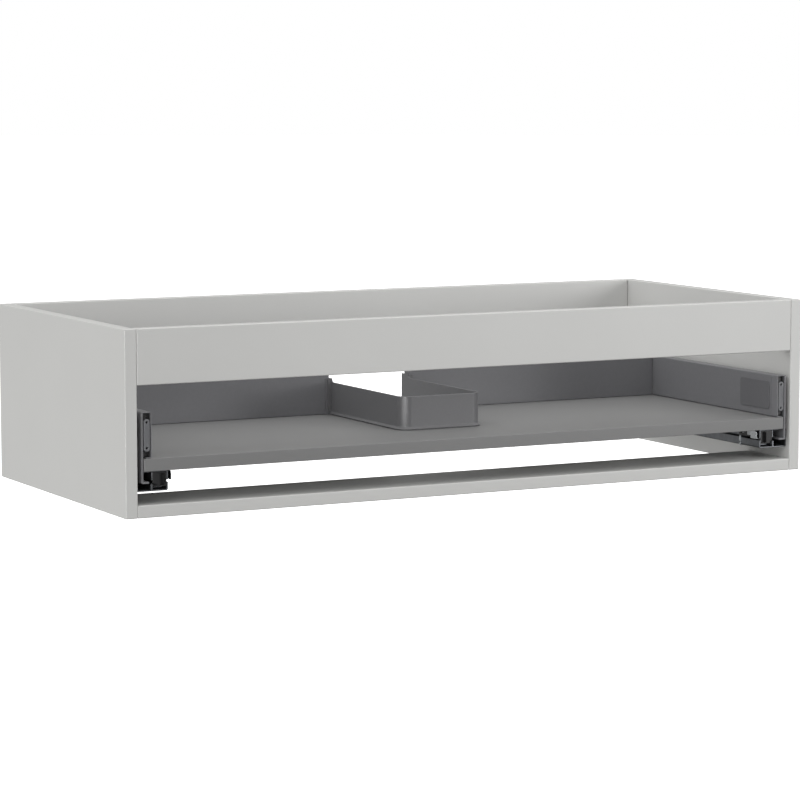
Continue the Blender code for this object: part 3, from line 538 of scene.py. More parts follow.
# ---------------------------------------------------------------- repeated parts
def new_tree(name, inputs):
    """An empty node tree for geometry, with its named inputs."""
    tree = bpy.data.node_groups.new(name, "GeometryNodeTree")
    for label, kind in inputs:
        tree.interface.new_socket(label, in_out="INPUT", socket_type=f"NodeSocket{kind}")
    tree.interface.new_socket("Geometry", in_out="OUTPUT", socket_type="NodeSocketGeometry")
    return tree, add(tree, "NodeGroupInput").outputs


def end_tree(tree, geometry, material):
    """The tree's last nodes: real meshes instead of instances, with their finish."""
    real = add(tree, "GeometryNodeRealizeInstances", {"Geometry": geometry})
    finished = add(tree, "GeometryNodeSetMaterial", {
        "Geometry": real.outputs["Geometry"], "Material": material,
    })
    add(tree, "NodeGroupOutput", {"Geometry": finished.outputs["Geometry"]})
    return tree


def row_tree():
    """Copies of a part in a straight row."""
    known = bpy.data.node_groups.get("row_of_parts")
    if known:
        return known
    tree, given = new_tree("row_of_parts", (
        ("Part", "Object"), ("Count", "Int"), ("First", "Vector"), ("Step", "Vector"),
        ("Finish", "Material"),
    ))
    line = add(tree, "GeometryNodeMeshLine", {
        "Count": given["Count"], "Start Location": given["First"], "Offset": given["Step"],
    }, mode="OFFSET")
    part = add(tree, "GeometryNodeObjectInfo", {"Object": given["Part"]})
    placed = add(tree, "GeometryNodeInstanceOnPoints", {
        "Points": line.outputs["Mesh"], "Instance": part.outputs["Geometry"],
    })
    return end_tree(tree, placed.outputs["Instances"], given["Finish"])


def ring_tree():
    """Copies of a part round a circle about the vertical, each turned to face outwards."""
    known = bpy.data.node_groups.get("ring_of_parts")
    if known:
        return known
    tree, given = new_tree("ring_of_parts", (
        ("Part", "Object"), ("Count", "Int"), ("Radius", "Float"), ("Centre", "Vector"),
        ("Finish", "Material"),
    ))
    rim = add(tree, "GeometryNodeMeshCircle", {
        "Vertices": given["Count"], "Radius": given["Radius"],
    })
    part = add(tree, "GeometryNodeObjectInfo", {"Object": given["Part"]})
    index = add(tree, "GeometryNodeInputIndex")
    share = add(tree, "ShaderNodeMath", {
        0: index.outputs[0], 1: given["Count"],
    }, operation="DIVIDE")
    angle = add(tree, "ShaderNodeMath", {0: share.outputs[0], 1: math.tau}, operation="MULTIPLY")
    about = add(tree, "ShaderNodeCombineXYZ", {"Z": angle.outputs[0]})
    turn = add(tree, "FunctionNodeEulerToRotation", {0: about.outputs[0]})
    placed = add(tree, "GeometryNodeInstanceOnPoints", {
        "Points": rim.outputs["Mesh"], "Instance": part.outputs["Geometry"],
        "Rotation": turn.outputs[0],
    })
    moved = add(tree, "GeometryNodeTransform", {
        "Geometry": placed.outputs["Instances"], "Translation": given["Centre"],
    })
    return end_tree(tree, moved.outputs["Geometry"], given["Finish"])


def coil_tree():
    """A coil spring along Y."""
    known = bpy.data.node_groups.get("coil_spring")
    if known:
        return known
    tree, given = new_tree("coil_spring", (
        ("Turns", "Float"), ("Radius", "Float"), ("Length", "Float"), ("Wire", "Float"),
        ("First", "Vector"), ("Finish", "Material"),
    ))
    spiral = add(tree, "GeometryNodeCurveSpiral", {
        "Resolution": 16, "Rotations": given["Turns"], "Start Radius": given["Radius"],
        "End Radius": given["Radius"], "Height": given["Length"],
    })
    wire = add(tree, "GeometryNodeCurvePrimitiveCircle", {"Resolution": 8, "Radius": given["Wire"]})
    coil = add(tree, "GeometryNodeCurveToMesh", {
        "Curve": spiral.outputs["Curve"], "Profile Curve": wire.outputs["Curve"], "Fill Caps": True,
    })
    placed = add(tree, "GeometryNodeTransform", {
        "Geometry": coil.outputs["Mesh"], "Rotation": (-math.pi / 2, 0, 0),
        "Translation": given["First"],
    })
    return end_tree(tree, placed.outputs["Geometry"], given["Finish"])


def grow(name, tree, **values):
    """An object made by a node tree, as a plain mesh."""
    holder = bpy.data.objects.new(name, bpy.data.meshes.new(name))
    bpy.context.scene.collection.objects.link(holder)
    maker = holder.modifiers.new("grow", "NODES")
    maker.node_group = tree
    for item in tree.interface.items_tree:
        if item.item_type == "SOCKET" and item.name in values:
            maker[item.identifier] = values[item.name]
    return freeze(holder)


def repeat(name, shape, body, finish_name, nodes=(), tree=None, edge=0.0, **values):
    """A part repeated by a node tree, as one piece on one body."""
    part = as_object("part", shape)
    if edge:
        soften(part, edge, 1)
    made = grow(name, tree or row_tree(), Part=part, Finish=finish(finish_name), **values)
    bpy.data.objects.remove(part, do_unlink=True)
    smooth(made)
    return attach(made, body, finish_name, nodes)


# ---------------------------------------------------------------- carcass
def carcass_board(node, flat_axis):
    """A board with laminate on its two broad faces and rounded edge bands round them."""
    low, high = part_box(node)
    shape = block(bmesh.new(), low.x, high.x, low.y, high.y, low.z, high.z)
    bmesh.ops.recalc_face_normals(shape, faces=shape.faces)
    for face in shape.faces:
        face.material_index = 0 if abs(face.normal[flat_axis]) > 0.9 else 1
    bmesh.ops.bevel(
        shape, geom=list(shape.edges), offset=settings().cabinet.edge_radius, segments=4,
        profile=0.5, affect="EDGES", material=1,
    )
    piece = as_object(f"{node}_board", shape)
    if node.endswith("side_panel"):
        side = 1 if low.x > 0 else -1
        screw = span("rail_screw_right_front")
        radius = 2.7 * MM
        bores = []
        for place in ("front", "rear"):
            at = span(f"rail_screw_right_{place}")
            centre = ((at.y0 + at.y1) / 2, (at.z0 + at.z1) / 2)
            bores.append(prism(
                bmesh.new(), circle(centre, radius, 20), "X", screw.x0, screw.x1 + 1 * MM))
        carve(piece, bores, side)
    smooth(piece)
    attach(piece, "cabinet", "light_grey_melamine", [node])
    piece.data.materials.append(finish("light_grey_edge_band"))
    return piece


def cross_recess(shape, axis, centre, start, end, reach, half):
    """The two crossed slots of a driver recess, as one outline."""
    a, b = centre
    corners = []
    for across, up in ((1, 1), (-1, 1), (-1, -1), (1, -1)):
        arm = [(across * half, up * reach), (across * half, up * half), (across * reach, up * half)]
        corners += arm[::-1] if across * up > 0 else arm
    return prism(shape, [(a + p, b + q) for p, q in corners], axis, start, end)


def fitting_cam(axis, centre, face, way):
    """A zinc connecting cam seen in its bore: a rim, a sunk face and a cross recess."""
    radius = settings().cabinet.dowel_cam_radius
    rim = radius - 0.8 * MM
    profile = [(0, -3 * MM), (radius, -3 * MM), (radius, -0.25 * MM),
               (radius - 0.2 * MM, -0.05 * MM), (rim, -0.05 * MM), (rim - 0.3 * MM, -0.6 * MM),
               (0, -0.6 * MM)]
    shape = turned(bmesh.new(), [(r, face + way * h) for r, h in profile], axis, centre, 40)
    made = as_object("cam", shape)
    slots = cross_recess(bmesh.new(), axis, centre, face + way * 1 * MM, face - way * 2 * MM,
                         3 * MM, 0.7 * MM)
    carve(made, [slots], 1)
    return made


def connecting_cams():
    """The cams behind the top rails and under the bottom rail that draw the carcass together."""
    inset = settings().cabinet.dowel_cam_inset
    places = (
        ("front_top_rail", "Y", "y1", 1), ("back_top_rail", "Y", "y1", 1),
        ("front_bottom_rail", "Z", "z0", -1),
    )
    for node, axis, field, way in places:
        rail = span(node)
        face = getattr(rail, field)
        if axis == "Y":
            first = (rail.x0 + inset, face, (rail.z0 + rail.z1) / 2)
        else:
            first = (rail.x0 + inset, (rail.y0 + rail.y1) / 2, face)
        step = (rail.x1 - rail.x0 - 2 * inset, 0, 0)
        part = fitting_cam(axis, (0, 0), 0, way)
        made = grow(f"{node}_cams", row_tree(), Part=part, Count=2, First=first, Step=step,
                    Finish=finish("bright_zinc_plate"))
        bpy.data.objects.remove(part, do_unlink=True)
        smooth(made)
        attach(made, "cabinet", "bright_zinc_plate")


def hangers():
    """The wall hangers: a housing with its two adjusting screws, and the hook that it holds."""
    sizes = settings().cabinet
    box = span("hanger_housing_right")
    hook = span("hanger_hook_right")
    wall = 2 * MM
    middle = (hook.x0 + hook.x1) / 2
    half = (hook.x1 - hook.x0) / 2 + 0.5 * MM
    sheet = 2.5 * MM
    slot_low = hook.z1 - sheet - 5.5 * MM
    for name, side in SIDES:
        body = prism(bmesh.new(), rectangle(box.y0, box.y1, box.z0, box.z1, 4 * MM), "X",
                     box.x0, box.x1)
        slot = block(bmesh.new(), middle - half, middle + half, box.y0 + wall, box.y1 + wall,
                     slot_low, box.z1 - wall)
        low, high = box.z0 + 6 * MM, slot_low - 4 * MM
        pocket = prism(bmesh.new(), rectangle(box.y0 + 14 * MM, box.y1 - 4 * MM, low, high, 2 * MM),
                       "X", box.x0 - 1 * MM, box.x0 + 5 * MM)
        build(f"hanger_shell_{name}", body, side, "cabinet", "grey_acetal",
              [f"hanger_housing_{name}"], 0.8 * MM, [slot, pocket], 3)
        start, claw = hook.y0, hook.y1 - sheet / 2
        arm = hook.z1 - sheet / 2
        outline = folded([(start, arm), (claw, arm), (claw, hook.z0)], sheet, sizes.hook_bend, 8)
        build(f"hanger_claw_{name}", prism(bmesh.new(), outline, "X", hook.x0, hook.x1), side,
              f"hanger_hook_{name}", "bright_zinc_plate", [f"hanger_hook_{name}"], 0.3 * MM)
        screw = turned(bmesh.new(), [
            (0, 0), (4.0 * MM, 0), (4.0 * MM, -0.9 * MM), (3.2 * MM, -1.6 * MM), (0, -2.0 * MM),
        ], "Y", (0, 0))
        head = as_object("head", screw)
        carve(head, [cross_recess(bmesh.new(), "Y", (0, 0), -3 * MM, -0.6 * MM, 2.2 * MM,
                                  0.45 * MM)])
        first = (side * middle, box.y0 + 0.2 * MM, low + 6 * MM)
        made = grow(f"hanger_screws_{name}", row_tree(), Part=head, Count=2, First=first,
                    Step=(0, 0, 16 * MM), Finish=finish("bright_zinc_plate"))
        bpy.data.objects.remove(head, do_unlink=True)
        smooth(made)
        attach(made, "cabinet", "bright_zinc_plate")


# ---------------------------------------------------------------- drawer
def drawer_floor():
    """The dark laminated floor with the cut-out for the siphon."""
    sizes = settings().drawer
    box = span("drawer_floor")
    surround = span("siphon_surround")
    half = span("back_panel_right").x0 - 1.5 * MM
    front = surround.y0 + 2.4 * MM
    radius = sizes.surround_corner + 0.3 * MM
    outline = rounded([
        (box.x0, box.y0, 0), (box.x1, box.y0, 0), (box.x1, box.y1, 0), (half, box.y1, 0),
        (half, front, radius), (-half, front, radius), (-half, box.y1, 0), (box.x0, box.y1, 0),
    ], 12)
    shape = prism(bmesh.new(), outline, "Z", box.z0, box.z1)
    build("drawer_floor_board", shape, 1, "drawer", "dark_grey_melamine", ["drawer_floor"],
          sizes.floor_edge, segments=3)


def drawer_sides():
    """The folded steel sides: flange, hemmed outer wall, top, inner wall and foot."""
    sizes = settings().drawer
    box = span("drawer_side_right")
    floor = span("drawer_floor")
    cap = span("cover_cap_right")
    sheet, hem = sizes.sheet, sizes.hem
    inside, outside = sizes.bend, sizes.bend + sheet
    inner = box.x0
    cavity_in, cavity_out = inner + sheet, box.x1 - hem
    foot = floor.z1 + 0.3 * MM
    flange = span("closing_pin_right").x1 + 1 * MM
    outline = rounded([
        (flange, box.z0, inside), (box.x1, box.z0, outside), (box.x1, box.z1, outside),
        (inner, box.z1, outside), (inner, foot, outside), (cavity_in + 6.5 * MM, foot, 0),
        (cavity_in + 6.5 * MM, foot + sheet, 0), (cavity_in, foot + sheet, inside),
        (cavity_in, box.z1 - sheet, inside), (cavity_out, box.z1 - sheet, inside),
        (cavity_out, box.z0 + hem, inside), (flange, box.z0 + hem, inside),
    ], 8)
    margin = 6 * MM
    line = cap.y0 - 4.1 * MM
    hem_line = box.x1 - hem / 2
    for name, side in SIDES:
        window = prism(bmesh.new(), rectangle(
            cap.y0 + margin, cap.y1 - margin, cap.z0 + margin, cap.z1 - margin, 2 * MM),
            "X", inner - 2 * MM, inner + 3 * MM)
        groove = block(bmesh.new(), inner - 1 * MM, inner + 0.3 * MM, line, line + 0.6 * MM,
                       foot + 3 * MM, box.z1 - 3 * MM)
        slit = block(bmesh.new(), hem_line - 0.12 * MM, hem_line + 0.12 * MM, box.y0 - 1 * MM,
                     box.y0 + 0.8 * MM, box.z0 + 2 * hem, box.z1 - 2 * hem)
        shape = prism(bmesh.new(), outline, "Y", box.y0, box.y1)
        build(f"folded_side_{name}", shape, side, "drawer", "dark_grey_powder_coat",
              [f"drawer_side_{name}"], 0.2 * MM, [window, groove, slit], 3)


def cover_caps():
    """The plain snap-on caps over the adjusters, with soft edges and a lifting notch."""
    sizes = settings().drawer
    cap = span("cover_cap_right")
    wall = span("drawer_side_right").x0
    back = wall - 0.3 * MM
    plug = 6.5 * MM
    for name, side in SIDES:
        outline = rectangle(cap.y0, cap.y1, cap.z0, cap.z1, sizes.cap_corner, 10)
        shape = prism(bmesh.new(), outline, "X", cap.x0, back)
        notch = prism(bmesh.new(), rectangle(
            (cap.y0 + cap.y1) / 2 - 5 * MM, (cap.y0 + cap.y1) / 2 + 5 * MM,
            cap.z0 - 1 * MM, cap.z0 + 0.5 * MM, 0.4 * MM), "X", cap.x0 - 1 * MM, cap.x0 + 0.4 * MM)
        piece = as_object(f"plain_cap_{name}", shape, side)
        soften(piece, 0.35 * MM, 4)
        inner = prism(bmesh.new(), rectangle(
            cap.y0 + plug, cap.y1 - plug, cap.z0 + plug, cap.z1 - plug, 2 * MM),
            "X", back - 0.2 * MM, cap.x1)
        carve(piece, [inner], side, "UNION")
        carve(piece, [notch], side)
        smooth(piece)
        attach(piece, "drawer", "grey_abs_cap", [f"cover_cap_{name}"])


def front_fixings():
    """The brackets for a drawer front, the clamps that hold them and the locking cams."""
    box = span("front_bracket_right")
    clamp = span("bracket_clamp_right")
    cam = span("front_lock_cam_right")
    middle = (box.x0 + box.x1) / 2
    centre = (box.z0 + box.z1) / 2
    pitch = 16 * MM
    gap = 0.3 * MM
    corner = 3.6 * MM
    for name, side in SIDES:
        plate = prism(bmesh.new(), rectangle(box.x0, box.x1, box.z0, box.z1, corner, 8), "Y",
                      box.y0, box.y1)
        holes = []
        for way in (-1, 1):
            holes.append(turned(bmesh.new(), [
                (0, box.y0 - 1 * MM), (2.6 * MM, box.y0 - 1 * MM), (1.9 * MM, box.y0 + 0.1 * MM),
                (1.4 * MM, box.y0 + 0.6 * MM), (1.4 * MM, box.y0 + 12 * MM), (0, box.y0 + 13 * MM),
            ], "Y", (middle, centre + way * pitch), 24))
        holes.append(prism(bmesh.new(), rectangle(
            middle - 1.6 * MM, middle + 1.6 * MM, centre - 10 * MM, centre + 10 * MM, 1.5 * MM),
            "Y", box.y0 - 1 * MM, box.y0 + 0.4 * MM))
        build(f"front_plate_{name}", plate, side, "drawer", "grey_nylon_bracket",
              [f"front_bracket_{name}"], 0.5 * MM, holes, 3)
        holder = prism(bmesh.new(), rectangle(clamp.x0, clamp.x1, clamp.z0, clamp.z1, 1 * MM), "Y",
                       clamp.y0, clamp.y1)
        socket = prism(bmesh.new(), rectangle(
            box.x0 - gap, box.x1 + gap, box.z0 - gap, box.z1 + gap, corner), "Y",
            clamp.y0 - 5 * MM, box.y1 + gap)
        cam_y, cam_z = (cam.y0 + cam.y1) / 2, (cam.z0 + cam.z1) / 2
        radius = (cam.y1 - cam.y0) / 2
        seat = prism(bmesh.new(), circle((cam_y, cam_z), radius + gap), "X", clamp.x0 - 2 * MM,
                     cam.x1 + gap)
        build(f"clamp_body_{name}", holder, side, "drawer", "black_acetal",
              [f"bracket_clamp_{name}"], 0.3 * MM, [socket, seat])
        for place, first, way in (
            ("upper", box.z1 + 1.2 * MM, 1), ("lower", box.z0 - 1.2 * MM, -1),
        ):
            rib = block(bmesh.new(), -3.2 * MM, 3.2 * MM, -0.6 * MM, 0, -0.25 * MM, 0.25 * MM)
            repeat(f"clamp_ribs_{place}_{name}", rib, "drawer", "black_acetal", Count=3,
                   First=(side * middle, clamp.y0, first), Step=(0, 0, way * 1.4 * MM))
        disc = turned(bmesh.new(), [
            (0, cam.x1), (radius, cam.x1), (radius, cam.x0 + 0.3 * MM),
            (radius - 0.3 * MM, cam.x0), (0, cam.x0),
        ], "X", (cam_y, cam_z), 40)
        slot = cross_recess(bmesh.new(), "X", (cam_y, cam_z), cam.x0 - 1 * MM, cam.x0 + 0.6 * MM,
                            3 * MM, 0.5 * MM)
        build(f"lock_cam_{name}", disc, side, f"front_lock_cam_{name}", "bright_zinc_plate",
              [f"front_lock_cam_{name}"], 0, [slot])


def drawer_back():
    """The two halves of the drawer back, and the channels on their ends beside the cut-out."""
    panel = span("back_panel_right")
    clip = span("surround_clip_right")
    sheet = 1.2 * MM
    for name, side in SIDES:
        shape = block(bmesh.new(), *panel)
        build(f"steel_back_{name}", shape, side, "drawer", "dark_grey_powder_coat",
              [f"back_panel_{name}"], 0.7 * MM, segments=3)
        path = [(clip.x1, clip.y0 + sheet / 2), (clip.x0 + sheet / 2, clip.y0 + sheet / 2),
                (clip.x0 + sheet / 2, clip.y1 - sheet / 2), (clip.x1, clip.y1 - sheet / 2)]
        channel = prism(bmesh.new(), folded(path, sheet, 0.3 * MM), "Z", clip.z0, clip.z1)
        build(f"end_channel_{name}", channel, side, "drawer", "dark_grey_powder_coat",
              [f"surround_clip_{name}"], 0.2 * MM)


def siphon_surround():
    """The moulded surround: a wall with a rounded rim, a flared foot on the floor and two ears."""
    sizes = settings().drawer
    box = span("siphon_surround")
    floor = span("drawer_floor")
    clip = span("surround_clip_right")
    wall, radius, flare = sizes.surround_wall, sizes.surround_corner, sizes.surround_flare
    lip, flange = 3 * MM, 5 * MM
    half, front, back = box.x1 - flange, box.y0 + lip, box.y1
    ear, ear_length, ear_fillet = 5 * MM, 18 * MM, 6 * MM
    rim = box.z1 - ear

    def top_at(y):
        """The rim's height, with the ears at the drawer back."""
        ahead = back - ear_length - y
        if ahead <= 0:
            return box.z1
        if ahead >= ear_fillet:
            return rim
        return rim + ear_fillet - math.sqrt(ear_fillet ** 2 - (ear_fillet - ahead) ** 2)

    ys = [back, back - 8 * MM, back - ear_length, back - ear_length - 0.05 * MM]
    ys += [back - ear_length - ear_fillet * k / 8 for k in range(1, 9)]
    path = [((-half, y), (-1, 0)) for y in ys]
    for centre, start in (((-half + radius, front + radius), 180),
                          ((half - radius, front + radius), 270)):
        for k in range(15):
            angle = math.radians(start + 90 * k / 14)
            out = (math.cos(angle), math.sin(angle))
            path.append(((centre[0] + radius * out[0], centre[1] + radius * out[1]), out))
    path += [((half, y), (1, 0)) for y in reversed(ys)]

    def ring(point, out, section):
        return [(point[0] + out[0] * o, point[1] + out[1] * o, z) for o, z in section]

    rings = []
    for point, out in path:
        top = top_at(point[1])
        bead = arc((-wall / 2, top - wall / 2), wall / 2, 0, 180, 8)
        rings.append(ring(point, out, [(-wall, box.z0), (0, box.z0)] + bead))
    piece = as_object("surround_moulding", loft(bmesh.new(), rings))
    foot = floor.z1 + 0.3 * MM
    under, tip = 0.8 * MM, 1.4 * MM
    curve = [(-wall / 2, foot), (lip / 3, foot), (lip / 2, foot + under), (lip, foot + under)]
    for k in range(9):
        share = k / 8
        curve.append((lip * (1 - share) ** 1.8, foot + tip + (flare - tip) * share))
    curve.append((-wall / 2, foot + flare))
    lip_back = clip.y0 - 0.3 * MM
    flare_path = [((-half, lip_back), (-1, 0))]
    flare_path += [step for step in path if step[0][1] < lip_back - 1 * MM]
    flare_path.append(((half, lip_back), (1, 0)))
    carve(piece, [loft(bmesh.new(), [ring(p, o, curve) for p, o in flare_path])], 1, "UNION")
    flanges = [
        block(bmesh.new(), *sorted((side * (half - wall / 2), side * box.x1)),
              lip_back - wall, lip_back - 0.01 * MM, foot, box.z1 - 0.3 * MM)
        for side in (-1, 1)
    ]
    carve(piece, flanges, 1, "UNION")
    smooth(piece, 40)
    attach(piece, "drawer", "dark_grey_polypropylene", ["siphon_surround"])


def corner_angles():
    """The riveted angles that tie the sides to the back."""
    box = span("back_bracket_right")
    sheet = 1.2 * MM
    behind = box.y1 - sheet / 2
    inside = box.x1 - sheet / 2
    for name, side in SIDES:
        path = [(box.x0, behind), (inside, behind), (inside, box.y0)]
        shape = prism(bmesh.new(), folded(path, sheet, 1 * MM, 6), "Z", box.z0, box.z1)
        build(f"corner_angle_{name}", shape, side, "drawer", "zinc_coated_strip",
              [f"back_bracket_{name}"], 0.2 * MM)
        rivet = turned(bmesh.new(), [
            (0, -0.4 * MM), (3 * MM, -0.4 * MM), (3 * MM, 0.3 * MM), (2.2 * MM, 0.9 * MM),
            (1.0 * MM, 1.2 * MM), (0, 1.2 * MM),
        ], "Y", (0, 0), 24)
        repeat(f"angle_rivets_{name}", rivet, "drawer", "bright_zinc_plate", Count=3,
               First=(side * (box.x0 + 9 * MM), box.y1, box.z0 + 7 * MM),
               Step=(0, 0, (box.z1 - box.z0 - 14 * MM) / 2))


# ---------------------------------------------------------------- slides
def cabinet_rails():
    """The fixed rails: flange, floor, folded rib and inboard lip, with pierced slots."""
    sizes = settings().slide
    box = span("cabinet_rail_right")
    sheet, bend = sizes.sheet, sizes.bend
    outside = bend + sheet
    floor = box.z0 + sheet
    lip = box.z0 + 10.7 * MM
    cage = span("drawer_rail_right")
    tray = span("damper_tray_right")
    channel_in = box.x0 + sheet
    channel_out = channel_in + 19.3 * MM
    rib_out = tray.x0 - 0.3 * MM
    rib = (rib_out - channel_out) / 2 - 0.01 * MM
    outline = rounded([
        (box.x0, box.z0, outside), (box.x1, box.z0, outside), (box.x1, box.z1, 0.4 * MM),
        (box.x1 - sheet, box.z1, 0.4 * MM), (box.x1 - sheet, floor, bend), (rib_out, floor, bend),
        (rib_out, lip - sheet, rib), (channel_out, lip - sheet, rib), (channel_out, floor, bend),
        (channel_in, floor, bend), (channel_in, lip, 0.4 * MM), (box.x0, lip, 0.4 * MM),
    ])
    nose = 44 * MM
    for name, side in SIDES:
        cuts = []
        for place in ("front", "rear"):
            at = span(f"rail_screw_right_{place}")
            middle = ((at.y0 + at.y1) / 2, (at.z0 + at.z1) / 2)
            cuts.append(prism(bmesh.new(), circle(middle, 3 * MM),
                              "X", box.x1 - 3 * MM, box.x1 + 1 * MM))
        for y in (70, 102, 134, 166, 198, 230, 290, 322):
            at = box.y0 + y * MM
            cuts.append(prism(bmesh.new(), rectangle(
                at - 5 * MM, at + 5 * MM, box.z1 - 9 * MM, box.z1 - 5 * MM, 1.9 * MM),
                "X", box.x1 - 3 * MM, box.x1 + 1 * MM))
        cuts.append(block(bmesh.new(), box.x0 - 1 * MM, box.x0 + 0.4 * MM, box.y0 + nose,
                          box.y1 + 1 * MM, box.z0 - 1 * MM, lip + 1 * MM))
        shape = prism(bmesh.new(), outline, "Y", box.y0, box.y1)
        build(f"fixed_rail_{name}", shape, side, "cabinet", "zinc_coated_strip",
              [f"cabinet_rail_{name}"], 0.15 * MM, cuts)
        tab = prism(bmesh.new(), rounded([
            (box.y0 + nose + 0.6 * MM, box.z0 - 1.2 * MM, 0.3 * MM),
            (box.y0 + nose + 4.6 * MM, box.z0 + 1 * MM, 0.3 * MM),
            (box.y0 + nose + 4.6 * MM, cage.z0 + 6 * MM, 0.6 * MM),
            (box.y0 + nose + 0.6 * MM, cage.z0 + 6 * MM, 0.6 * MM),
        ]), "X", box.x0 - 0.9 * MM, box.x0 - 0.1 * MM)
        build(f"stop_tab_{name}", tab, side, "cabinet", "bright_zinc_plate", (), 0.1 * MM)
        rivet = turned(bmesh.new(), [
            (0, 0), (1.5 * MM, 0), (1.4 * MM, -0.4 * MM), (0.8 * MM, -0.8 * MM), (0, -0.9 * MM),
        ], "X", (0, 0), 20)
        if side < 0:
            bmesh.ops.scale(rivet, vec=(-1, 1, 1), verts=rivet.verts)
        repeat(f"stop_rivets_{name}", rivet, "cabinet", "bright_zinc_plate", Count=2,
               First=(side * (box.x0 - 0.9 * MM), box.y0 + nose + 2.6 * MM, box.z0 + 4 * MM),
               Step=(0, 0, 9 * MM))


def rail_screws():
    """The pan-head screws of the fixed rails, with a cross recess and a ridged shank."""
    at = span("rail_screw_right_front")
    rear = span("rail_screw_right_rear")
    head_radius = (at.z1 - at.z0) / 2
    reach = at.x1 - at.x0
    for name, side in SIDES:
        shank = 2.4 * MM
        profile = [(0, 0), (head_radius * 0.55, 0.15 * MM), (head_radius * 0.88, 0.7 * MM),
                   (head_radius, 1.4 * MM), (head_radius, 2.0 * MM), (shank * 0.75, 2.0 * MM)]
        ridge = 1.0 * MM
        along = 2.6 * MM
        while along < reach - 3 * MM:
            profile += [(shank * 0.75, along), (shank, along + ridge * 0.35),
                        (shank * 0.75, along + ridge * 0.7)]
            along += ridge
        profile += [(shank * 0.7, along + 0.3 * MM), (0, reach)]
        shape = turned(bmesh.new(), profile, "X", (0, 0), 20)
        if side < 0:
            bmesh.ops.scale(shape, vec=(-1, 1, 1), verts=shape.verts)
        part = as_object("screw", shape)
        carve(part, [cross_recess(bmesh.new(), "X", (0, 0), -side * 1 * MM, side * 1.1 * MM,
                                  2.1 * MM, 0.4 * MM)])
        first = (side * at.x0, (at.y0 + at.y1) / 2, (at.z0 + at.z1) / 2)
        made = grow(f"pan_head_screws_{name}", row_tree(), Part=part, Count=2, First=first,
                    Step=(0, rear.y0 - at.y0, 0), Finish=finish("bright_zinc_plate"))
        bpy.data.objects.remove(part, do_unlink=True)
        smooth(made)
        attach(made, "cabinet", "bright_zinc_plate",
               [f"rail_screw_{name}_front", f"rail_screw_{name}_rear"])


def middle_rails():
    """The moving rails between the other two: two channels back to back."""
    sizes = settings().slide
    box = span("middle_rail_right")
    sheet, bend = sizes.middle_sheet, 0.5 * MM
    outside = bend + sheet
    lip = 5.6 * MM
    x0, x1 = box.x0, box.x1
    middle = (x0 + x1) / 2
    upper, lower = box.z1 - sheet, box.z0 + sheet
    outline = rounded([
        (x0, box.z0, outside), (x1, box.z0, outside), (x1, box.z0 + lip, 0.3 * MM),
        (x1 - sheet, box.z0 + lip, 0.3 * MM), (x1 - sheet, lower, bend),
        (middle + sheet, lower, bend), (middle + sheet, upper, bend), (x1 - sheet, upper, bend),
        (x1 - sheet, box.z1 - lip, 0.3 * MM),
        (x1, box.z1 - lip, 0.3 * MM), (x1, box.z1, outside), (x0, box.z1, outside),
        (x0, box.z1 - lip, 0.3 * MM), (x0 + sheet, box.z1 - lip, 0.3 * MM),
        (x0 + sheet, upper, bend),
        (middle - sheet, upper, bend), (middle - sheet, lower, bend), (x0 + sheet, lower, bend),
        (x0 + sheet, box.z0 + lip, 0.3 * MM), (x0, box.z0 + lip, 0.3 * MM),
    ])
    for name, side in SIDES:
        cuts = []
        for y in (30, 110, 190, 270):
            at = box.y0 + y * MM
            centre_z = (box.z0 + box.z1) / 2
            cuts.append(prism(bmesh.new(), rectangle(
                at - 8 * MM, at + 8 * MM, centre_z - 3 * MM, centre_z + 3 * MM, 2.8 * MM),
                "X", middle - 3 * MM, middle + 3 * MM))
        shape = prism(bmesh.new(), outline, "Y", box.y0, box.y1)
        build(f"running_rail_{name}", shape, side, f"middle_rail_{name}", "zinc_coated_strip",
              [f"middle_rail_{name}"], 0.12 * MM, cuts)


def drawer_rails():
    """The rails under the drawer floor: a ball channel with a wide plate, and its end plugs."""
    sizes = settings().slide
    box = span("drawer_rail_right")
    sheet, bend = sizes.sheet, sizes.bend
    outside = bend + sheet
    roof = box.z1 - sheet
    channel_out = box.x0 + sheet + 19.3 * MM
    outline = rounded([
        (box.x0, box.z1, outside), (box.x0, box.z0, 0.4 * MM), (box.x0 + sheet, box.z0, 0.4 * MM),
        (box.x0 + sheet, roof, bend), (channel_out, roof, bend), (channel_out, box.z0, 0.4 * MM),
        (channel_out + sheet, box.z0, 0.4 * MM), (channel_out + sheet, roof, bend),
        (box.x1, roof, 0.3 * MM), (box.x1, box.z1, 0.3 * MM),
    ])
    plug = span("rail_end_cap_right")
    for name, side in SIDES:
        shape = prism(bmesh.new(), outline, "Y", box.y0, box.y1)
        build(f"carrying_rail_{name}", shape, side, "drawer", "zinc_coated_strip",
              [f"drawer_rail_{name}"], 0.15 * MM)
        body = block(bmesh.new(), *plug)
        recess = prism(bmesh.new(), rectangle(
            plug.x0 + 1.5 * MM, plug.x0 + 9.5 * MM, plug.z0 + 1.5 * MM, plug.z1 - 1.5 * MM,
            1 * MM), "Y", plug.y0 - 1 * MM, plug.y0 + 5 * MM)
        foot = prism(bmesh.new(), [
            (plug.x0 + 9.5 * MM, plug.z0 - 1 * MM), (plug.x1 + 1 * MM, plug.z0 - 1 * MM),
            (plug.x1 + 1 * MM, plug.z0 + 5 * MM), (plug.x0 + 9.5 * MM, plug.z0 + 1 * MM),
        ], "Y", plug.y0 - 1 * MM, plug.y0 + 3 * MM)
        build(f"end_plug_{name}", body, side, "drawer", "black_acetal", [f"rail_end_cap_{name}"],
              0.4 * MM, [recess, foot], 3)


